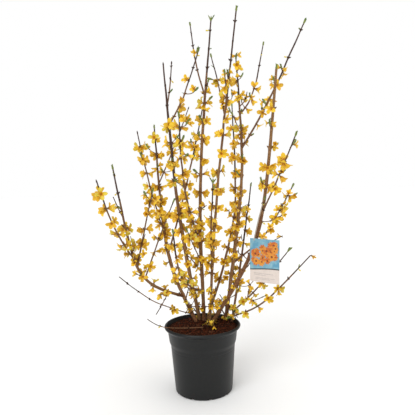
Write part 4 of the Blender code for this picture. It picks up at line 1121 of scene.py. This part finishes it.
# %% The four lobes
def each(values):
    """One value a flower, given to each of its four lobes."""
    return np.repeat(values, 4)


LOBE_LENGTH, LOBE_WIDTH = 0.0205, 0.0144
LOBE_ROWS, LOBE_COLUMNS = 6, 4
OPEN_DEG, OPEN_SPREAD_DEG, LEAST_OPEN_DEG, MOST_OPEN_DEG = 45, 13, 18, 78
# A flower's openness is shared out between the lean of its lobes' feet and the curl towards their tips.
LEAN_SHARE, CURL_SHARE = 0.55, 0.95
TUBE_LENGTH = 0.0042
MOUTH_RADIUS, MOUTH_DEPTH = 0.0016, 0.0008
openness = np.radians(rng.normal(OPEN_DEG, OPEN_SPREAD_DEG, flower_count))
openness = openness.clip(math.radians(LEAST_OPEN_DEG), math.radians(MOST_OPEN_DEG))
count = 4 * flower_count
lobe_points = blades(
    count, LOBE_ROWS, LOBE_COLUMNS,
    length=each(sizes) * LOBE_LENGTH * rng.uniform(0.9, 1.1, count),
    width=each(sizes) * LOBE_WIDTH * rng.uniform(0.85, 1.15, count),
    lean=each(openness) * LEAN_SHARE + rng.normal(0, 0.08, count),
    curl=each(openness) * CURL_SHARE + rng.normal(0, 0.32, count),
    fold=rng.uniform(0.10, 0.45, count),
    twist=rng.normal(0, 0.35, count),
    thick=0.00035, foot=0.22, start=(MOUTH_RADIUS, TUBE_LENGTH - MOUTH_DEPTH),
)
quarter = np.tile(np.arange(4) * math.pi / 2, flower_count) + rng.normal(0, 0.10, count)
lobe_faces = faces_of_blades(lobe_points, LOBE_ROWS, LOBE_COLUMNS)
lobe_points = turned_about_z(lobe_points, quarter).reshape(flower_count, -1, 3)
tint = rng.choice((GOLD, DEEP, PALE), flower_count, p=(0.66, 0.20, 0.14))
# A lobe is darkest where it leaves the throat: its first row of faces is orange, and its second deep gold.
per_lobe = len(lobe_faces) // count
row_of_face = np.arange(per_lobe) % (per_lobe // 2) // (LOBE_COLUMNS - 1)
lobe_tints = np.where(row_of_face == 0, THROAT, np.where(row_of_face == 1, DEEP, each(tint)[:, None]))
lobe_points = placed(flower_turns, flower_roots, lobe_points)
petals = add_piece("petals", lobe_points, [lobe_faces], PETALS, lobe_tints.ravel(), sharp_deg=60)

# %% Small turned shapes: flower tubes, throats, stalks and buds
SMALL_SIDES = 6


def small_piece(name, profile, turns, roots, materials, scales=1.0, tints=None, sides=SMALL_SIDES):
    """A closed profile of (radius, height) carried round Z, once for each root, as one piece. scales gives
    each copy its size along its three axes, and tints the number of its material."""
    points, faces = turned(np.array(profile), sides)
    faces = [repeated(group, len(roots), len(points)) for group in faces]
    points = placed(turns, roots, points * np.broadcast_to(scales, (len(roots), 1, 3)))
    if tints is not None:
        tints = np.concatenate([np.repeat(tints, len(group) // len(roots)) for group in faces])
    return add_piece(name, points, faces, materials, tints)


TUBE_PROFILE = ((0, 0.0), (0.0012, 0.0003), (0.0014, 0.0020), (0.0022, 0.0046), (0.0020, 0.0050), (0, 0.0050))
THROAT_PROFILE = ((0, 0.0044), (0.0018, 0.0046), (0.0019, 0.0054), (0.0013, 0.0062), (0, 0.0068))
scales = sizes[:, None, None]
tubes = small_piece("flower_tubes", TUBE_PROFILE, flower_turns, flower_roots, [PETALS[DEEP]], scales)
throats = small_piece("flower_throats", THROAT_PROFILE, flower_turns, flower_roots, [PETALS[THROAT]], scales)

# %% Sepals and stalks
SEPAL_ROWS, SEPAL_COLUMNS = 4, 3
STALK_SIDES, STALK_OVERLAP = 5, 1.1
STALK_PROFILE = ((0, -0.0001), (0.0010, 0.0), (0.0008, 0.5), (0.0012, 0.92), (0, 1.0))
sepal_points = blades(
    count, SEPAL_ROWS, SEPAL_COLUMNS,
    length=0.0052,
    width=0.0030,
    lean=rng.uniform(0.15, 0.4, count),
    curl=rng.uniform(0.0, 0.5, count),
    fold=-0.3,
    twist=0.0,
    thick=0.0003, foot=0.25, start=(0.0010, 0.0),
)
sepal_faces = faces_of_blades(sepal_points, SEPAL_ROWS, SEPAL_COLUMNS)
sepal_points = turned_about_z(sepal_points, quarter + math.pi / 4).reshape(flower_count, -1, 3)
sepal_points = placed(flower_turns, flower_roots, sepal_points)
sepals = add_piece("sepals", sepal_points, [sepal_faces], [GREENS[STALK]], sharp_deg=60)
scales = np.ones((flower_count, 1, 3))
scales[:, 0, 2] = np.linalg.norm(flower_roots - roots, axis=1) * STALK_OVERLAP
stalks = small_piece(
    "flower_stalks", STALK_PROFILE, flower_turns, roots, [GREENS[STALK]], scales, sides=STALK_SIDES
)
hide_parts(*spray_nodes)

# %% [markdown]
# ## Buds and first leaves
#
# Every joint has two buds, one on each side. Where a flower has opened its brown scales stay behind, on
# bare wood the buds are still shut, and at the shoots' tips and a few joints the first green leaves show.

# %% Scale buds at every joint
# A bud sits a little inside the bark, leans along its shoot, and is larger on stouter wood.
BUD_SUNK = 0.8
BUD_OUT, BUD_ALONG = 0.85, 0.75
BUD_BASE_SIZE, BUD_GAIN = 0.85, 0.45
SCALE_BUD_PROFILE = ((0, 0.0), (0.0012, 0.0002), (0.0017, 0.0018), (0.0011, 0.0040), (0, 0.0056))
bud_roots, bud_ways, bud_sizes, emptied = [], [], [], []
for limb in limbs.values():
    for order, share in enumerate(limb.joints):
        tangent = limb.tangent(share)
        side, over = ring_frames(tangent)
        angle = joint_angle(order)
        out = math.cos(angle) * side + math.sin(angle) * over
        thick = float(limb.radius(share))
        for sign in (-1, 1):
            bud_roots.append(limb.at(share) + sign * out * thick * BUD_SUNK)
            bud_ways.append(sign * out * BUD_OUT + tangent * BUD_ALONG)
            bud_sizes.append(BUD_BASE_SIZE + BUD_GAIN * min(1, thick / USUAL_RADIUS))
            emptied.append(limb.row.bloom[0] - BLOOM_MARGIN < share < limb.row.bloom[1])
bud_roots, bud_ways, bud_sizes = np.array(bud_roots), np.array(bud_ways), np.array(bud_sizes)
rng = np.random.default_rng(33)
bud_sizes *= rng.uniform(0.7, 1.35, len(bud_sizes))
turns = facing(bud_ways, rng.uniform(0, FULL_TURN, len(bud_roots)))
scales, tints = bud_sizes[:, None, None], np.where(emptied, OLD_SCALE, SCALE)
scale_buds = small_piece("scale_buds", SCALE_BUD_PROFILE, turns, bud_roots, GREENS, scales, tints)

# %% Flower buds still shut, yellow and drooping
SHUT_SHARE = 0.13
SHUT_CLEAR = 0.03
SHUT_HANG, SHUT_SWAY = (0, 0, -1.1), 0.3
SHUT_PROFILE = (
    (0, 0.0), (0.0009, 0.0006), (0.0010, 0.0042), (0.0022, 0.0070),
    (0.0024, 0.0096), (0.0014, 0.0122), (0, 0.0134),
)
shut = rng.uniform(0, 1, len(bud_roots)) < SHUT_SHARE
shut &= bud_roots[:, 2] > SOIL_TOP + SHUT_CLEAR
# One hangs from the creeping twig, where it has crossed the pot's lip.
by_lip = np.linalg.norm(bud_roots - limbs["creeping"].at(0.84), axis=1)
shut[by_lip.argmin()] = True
shut_count = shut.sum()
ways = bud_ways[shut] + SHUT_HANG + rng.normal(0, SHUT_SWAY, (shut_count, 3))
turns = facing(ways, rng.uniform(0, FULL_TURN, shut_count))
shut_buds = small_piece("shut_flower_buds", SHUT_PROFILE, turns, bud_roots[shut], [PETALS[PALE]])

# %% Green tips: a pointed bud between two small leaves
TIP_PROFILE = ((0, -0.0006), (0.0018, 0.0004), (0.0033, 0.0060), (0.0026, 0.0120), (0, 0.0190))
BROWN_TIP_SCALE = 0.7
tips = [limb for limb in every.values() if has_green_tip(limb)]
tip_roots = np.array([limb.at(limb.bud_share) for limb in tips])
tip_ways = np.array([limb.tangent(limb.bud_share) for limb in tips])
brown = np.array([limb.name in BROWN_TIPS for limb in tips])
turns = facing(tip_ways, np.zeros(len(tips)))
scales, tints = np.where(brown, BROWN_TIP_SCALE, 1.0)[:, None, None], np.where(brown, SCALE, BUD_GREEN)
tip_buds = small_piece("tip_buds", TIP_PROFILE, turns, tip_roots, GREENS, scales, tints)

# %% Young leaves at the tips and at some joints
LEAF_ROWS, LEAF_COLUMNS = 6, 4
LEAFY_SHARE, LEAFY_CLEAR = 0.07, 0.02
LEAF_LIFT = (0, 0, 0.3)
GREEN_SHARE = 0.45
# Each pair is for the two leaves of a tip and for a leaf at a joint.
LEAF_LENGTHS, LEAF_WIDTHS = (0.0185, 0.0135), (0.0092, 0.0075)
LEAF_LEANS, LEAF_CURLS = (0.12, 0.3), (0.12, 1.3)
OPEN_LEAN, OPEN_GROWTH = 0.40, 1.25
green = [limb for limb in tips if limb.name not in BROWN_TIPS]
opened = np.repeat([limb.name in OPEN_TIPS for limb in green], 2)
leafy = (rng.uniform(0, 1, len(bud_roots)) < LEAFY_SHARE) & (bud_roots[:, 2] > SOIL_TOP + LEAFY_CLEAR)
leaf_roots = np.concatenate((np.repeat(tip_roots[~brown], 2, axis=0), bud_roots[leafy]))
leaf_ways = np.concatenate((np.repeat(tip_ways[~brown], 2, axis=0), bud_ways[leafy] + LEAF_LIFT))
leaf_count = len(leaf_roots)
at_tip = np.arange(leaf_count) < 2 * len(green)
is_open = np.append(opened, np.zeros(leaf_count - len(opened), bool))
growth = np.where(is_open, OPEN_GROWTH, 1.0)
leaf_points = blades(
    leaf_count, LEAF_ROWS, LEAF_COLUMNS,
    length=np.where(at_tip, *LEAF_LENGTHS) * rng.uniform(0.8, 1.2, leaf_count) * growth,
    width=np.where(at_tip, *LEAF_WIDTHS) * rng.uniform(0.75, 1.15, leaf_count),
    lean=np.where(is_open, OPEN_LEAN, np.where(at_tip, *LEAF_LEANS)),
    curl=np.where(at_tip, *LEAF_CURLS) * rng.uniform(-0.3, 1.3, leaf_count),
    fold=0.55,
    twist=rng.normal(0, 0.3, leaf_count),
    thick=0.0003, foot=0.10, start=(0.0006, 0.0),
)
leaf_faces = faces_of_blades(leaf_points, LEAF_ROWS, LEAF_COLUMNS)
spin = np.where(at_tip, math.pi * (np.arange(leaf_count) % 2), rng.uniform(0, FULL_TURN, leaf_count))
leaf_points = placed(facing(leaf_ways, np.zeros(leaf_count)), leaf_roots, turned_about_z(leaf_points, spin))
tint = np.where(rng.uniform(0, 1, leaf_count) < GREEN_SHARE, BUD_GREEN, LEAF)
tints = np.repeat(tint, len(leaf_faces) // leaf_count)
leaves = add_piece("young_leaves", leaf_points, [leaf_faces], GREENS, tints, sharp_deg=60)

# %% [markdown]
# ## The label
#
# A picture label is a card on a strap. The card isn't flat: it bows a little about its height. So every
# point of it, paper or ink, is worked out by one function of where it is across and up the card and how
# far it lies off it, and the inks are thin shapes laid on the card. The print is a plain design of round
# rosettes over a blue field.

# %% Places on the bowed card
CARD_BOW = 0.0022
CARD_THICKNESS = 0.0009
INK = 0.00012


def on_card(across, up, off):
    """across and up run from -0.5 to 0.5 over the card, off is metres in front of its middle. The card bows
    forward by its bow times 0.5 - 4 across^2, less at its foot."""
    across, up = np.asarray(across, float), np.asarray(up, float)
    bow = CARD_BOW * (0.5 - 4 * across**2) * (0.7 + 0.6 * up)
    local = np.stack(np.broadcast_arrays(across * CARD_WIDTH, -(off + bow), up * CARD_HEIGHT), axis=-1)
    return local @ card_turn.T + CARD_CENTRE


COLUMNS, ROWS = 17, 13
wide, high = np.meshgrid(np.linspace(-0.5, 0.5, COLUMNS), np.linspace(-0.5, 0.5, ROWS), indexing="xy")
front, back = (on_card(wide, high, off).reshape(-1, 3) for off in (CARD_THICKNESS / 2, -CARD_THICKNESS / 2))
grid = np.arange(ROWS * COLUMNS).reshape(ROWS, COLUMNS)
rim = np.concatenate((grid[0, :-1], grid[:-1, -1], grid[-1, :0:-1], grid[:0:-1, 0]))
rim_next = np.roll(rim, -1)
shift = ROWS * COLUMNS
edges = np.stack((rim_next, rim, rim + shift, rim_next + shift), axis=1)
quads = grid_quads(ROWS, COLUMNS)
card_points = np.concatenate((front, back))
card_faces = [quads, quads[:, ::-1] + shift, edges]
card = add_piece("label_card", card_points, card_faces, [CARD_STOCK], sharp_deg=30)

# %% The inks: a blue field, a dark sweep under it and grey rules
FRONT = CARD_THICKNESS / 2
PANEL_TOP = -0.20
SWEEP, SWEEP_RATE, SWEEP_START = 0.035, 2.6, 0.6
SWEEP_BELOW, SWEEP_ABOVE = 0.014, 0.010
# Each rule is given by its left and right ends, its height on the card and how tall it is.
RULES = (
    (-0.36, 0.30, -0.300, 0.007),
    (-0.36, 0.05, -0.335, 0.007),
    (-0.30, 0.36, -0.400, 0.006),
    (-0.30, 0.20, -0.428, 0.006),
)


def edge_of_panel(across):
    """The height at which the blue field ends: a slow wave that rises to the right."""
    return PANEL_TOP + SWEEP * np.sin(SWEEP_RATE * across + SWEEP_START)


def inked(across, low, high, off, rows=2):
    """A patch of ink between two heights, each one number for each place across."""
    share = np.linspace(0, 1, rows)[:, None]
    heights = low * (1 - share) + high * share
    points = on_card(np.broadcast_to(across, heights.shape), heights, off).reshape(-1, 3)
    return points, grid_quads(rows, len(across))


wide = np.linspace(-0.5, 0.5, 33)
edge = edge_of_panel(wide)
points, quads = inked(wide, edge, 0 * wide + 0.5, FRONT + INK, rows=9)
add_field = add_piece("label_field", points, [quads], [INK_SKY], sharp_deg=30)
patches = []
for left, right, height, tall in RULES:
    place = np.linspace(left, right, 15)
    patches.append((*inked(place, 0 * place + height, 0 * place + height + tall, FRONT + INK), GREY))
patches.append((*inked(wide, edge - SWEEP_BELOW, edge + SWEEP_ABOVE, FRONT + 1.6 * INK), DARK))
points, faces, dealt = joined(patches)
lines = add_piece("label_lines", points, faces, INKS, dealt, sharp_deg=30)

# %% Rosettes: eight round petals and an eye, in a garland that climbs from one corner to the other
# Each lies a hundredth of a millimetre over the last, so that they cover one another like printed flowers.
ROSETTE_COUNT, ROUND_PETALS = 34, 8
PETAL_CORNERS = 10
PETAL_SHAPE, EYE_SHAPE = (0.62, 0.42, 0.26), (0.0, 0.30, 0.30)
ROSETTE_STEP, PETAL_STEP, EYE_STEP = 9e-6, 8e-7, 2e-6
# The garland starts at one place on the card, runs on to another and strays to both sides of its line, but
# it stays between two margins.
ROSETTE_SIZES = (0.085, 0.125)
START_X, RUN_X, STRAY_X, LEFT, RIGHT = -0.40, 0.80, 0.15, -0.47, 0.47
START_Z, RUN_Z, STRAY_Z, LOWEST, HIGHEST = 0.02, 0.27, 0.34, -0.16, 0.48
ASPECT = CARD_WIDTH / CARD_HEIGHT
rng = np.random.default_rng(12)
run = np.linspace(0, 1, ROSETTE_COUNT)
rosette_size = rng.uniform(*ROSETTE_SIZES, ROSETTE_COUNT)
rosette_x = START_X + RUN_X * run + rng.uniform(-STRAY_X, STRAY_X, ROSETTE_COUNT)
rosette_x = rosette_x.clip(LEFT + rosette_size, RIGHT - rosette_size)
rosette_z = START_Z + RUN_Z * run + STRAY_Z * rng.uniform(-0.5, 0.5, ROSETTE_COUNT)
rosette_z = rosette_z.clip(LOWEST + rosette_size, HIGHEST - rosette_size)
corner = 2 * math.pi * np.arange(PETAL_CORNERS) / PETAL_CORNERS
patches = []
for order, (x, z, size) in enumerate(zip(rosette_x, rosette_z, rosette_size)):
    for k in range(ROUND_PETALS + 1):
        is_eye = k == ROUND_PETALS
        reach, long, short = EYE_SHAPE if is_eye else PETAL_SHAPE
        turn = 2 * math.pi * k / ROUND_PETALS + order
        out, beside = reach + long * np.cos(corner), short * np.sin(corner)
        lobe_x = out * math.cos(turn) - beside * math.sin(turn)
        lobe_z = out * math.sin(turn) + beside * math.cos(turn)
        lift = FRONT + 1.7 * INK + ROSETTE_STEP * order + PETAL_STEP * k + EYE_STEP * is_eye
        ink = RUSSET if is_eye else AMBER if order % 3 == 0 or (k + order) % 4 == 0 else ORANGE
        place = on_card(x + size * lobe_x, z + size * lobe_z * ASPECT, lift)
        patches.append((place, np.arange(PETAL_CORNERS)[None], ink))
points, faces, dealt = joined(patches)
rosettes = add_piece("label_rosettes", points, faces, INKS, dealt, sharp_deg=None)

# %% The strap, a flat band from the card's corner round the cane
STRAP_WIDTH = 0.0034
STRAP_THICKNESS = 0.0009
STRAP_FOOT = (-0.36, 0.45)
LOOP_CLEAR, LOOP_STEPS = 0.0018, 32
TAIL_BOW, TAIL_STEPS = 0.002, 12


def band(centre, across, outward, closed):
    """A band of rectangular section along a line, its width along across and its thickness along outward."""
    section = np.array(((-0.5, -0.5), (0.5, -0.5), (0.5, 0.5), (-0.5, 0.5)))
    points = centre[:, None] + section[:, :1] * STRAP_WIDTH * across[:, None]
    points = points + section[:, 1:] * STRAP_THICKNESS * outward[:, None]
    end = len(centre) * 4
    if closed:
        ends = [(end - 4 + k, end - 4 + (k + 1) % 4, (k + 1) % 4, k) for k in range(4)]
    else:
        ends = [(3, 2, 1, 0), (end - 4, end - 3, end - 2, end - 1)]
    return points.reshape(-1, 3), np.concatenate((grid_quads(len(centre), 4, closed=True), ends))


limb = limbs["right"]
tangent = limb.tangent(STRAP_SHARE)
side, over = ring_frames(tangent)
turn = 2 * math.pi * np.arange(LOOP_STEPS)[:, None] / LOOP_STEPS
outward = np.cos(turn) * side + np.sin(turn) * over
loop_radius = float(limb.radius(STRAP_SHARE)) + LOOP_CLEAR
loop = strap_place + outward * loop_radius
ring_points, ring_quads = band(loop, np.broadcast_to(tangent, outward.shape), outward, True)
foot = on_card(*STRAP_FOOT, STRAP_THICKNESS * 0.9)
towards = foot - strap_place
front_way = towards - tangent * towards.dot(tangent)
head = strap_place + front_way / np.linalg.norm(front_way) * loop_radius
way = (head - foot) / np.linalg.norm(head - foot)
tail_across = card_turn[:, 0] - way * card_turn[:, 0].dot(way)
tail_across /= np.linalg.norm(tail_across)
tail_out = np.cross(tail_across, way)
share = np.linspace(0, 1, TAIL_STEPS)[:, None]
line = foot + (head - foot) * share + tail_out * TAIL_BOW * np.sin(math.pi * share)
across, outward = (np.broadcast_to(fixed, line.shape) for fixed in (tail_across, tail_out))
tail_points, tail_quads = band(line, across, outward, False)
strap_points = np.concatenate((ring_points, tail_points))
strap_faces = [ring_quads, tail_quads + len(ring_points)]
strap = add_piece("label_strap", strap_points, strap_faces, [STRAP_FILM], sharp_deg=40)
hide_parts("plant_label")

# %% Sizes, and finish
sizes = {
    "cad": [list(map(float, corner)) for corner in cad_box],
    "visual": [list(map(float, corner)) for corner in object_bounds()],
}
print(sizes)
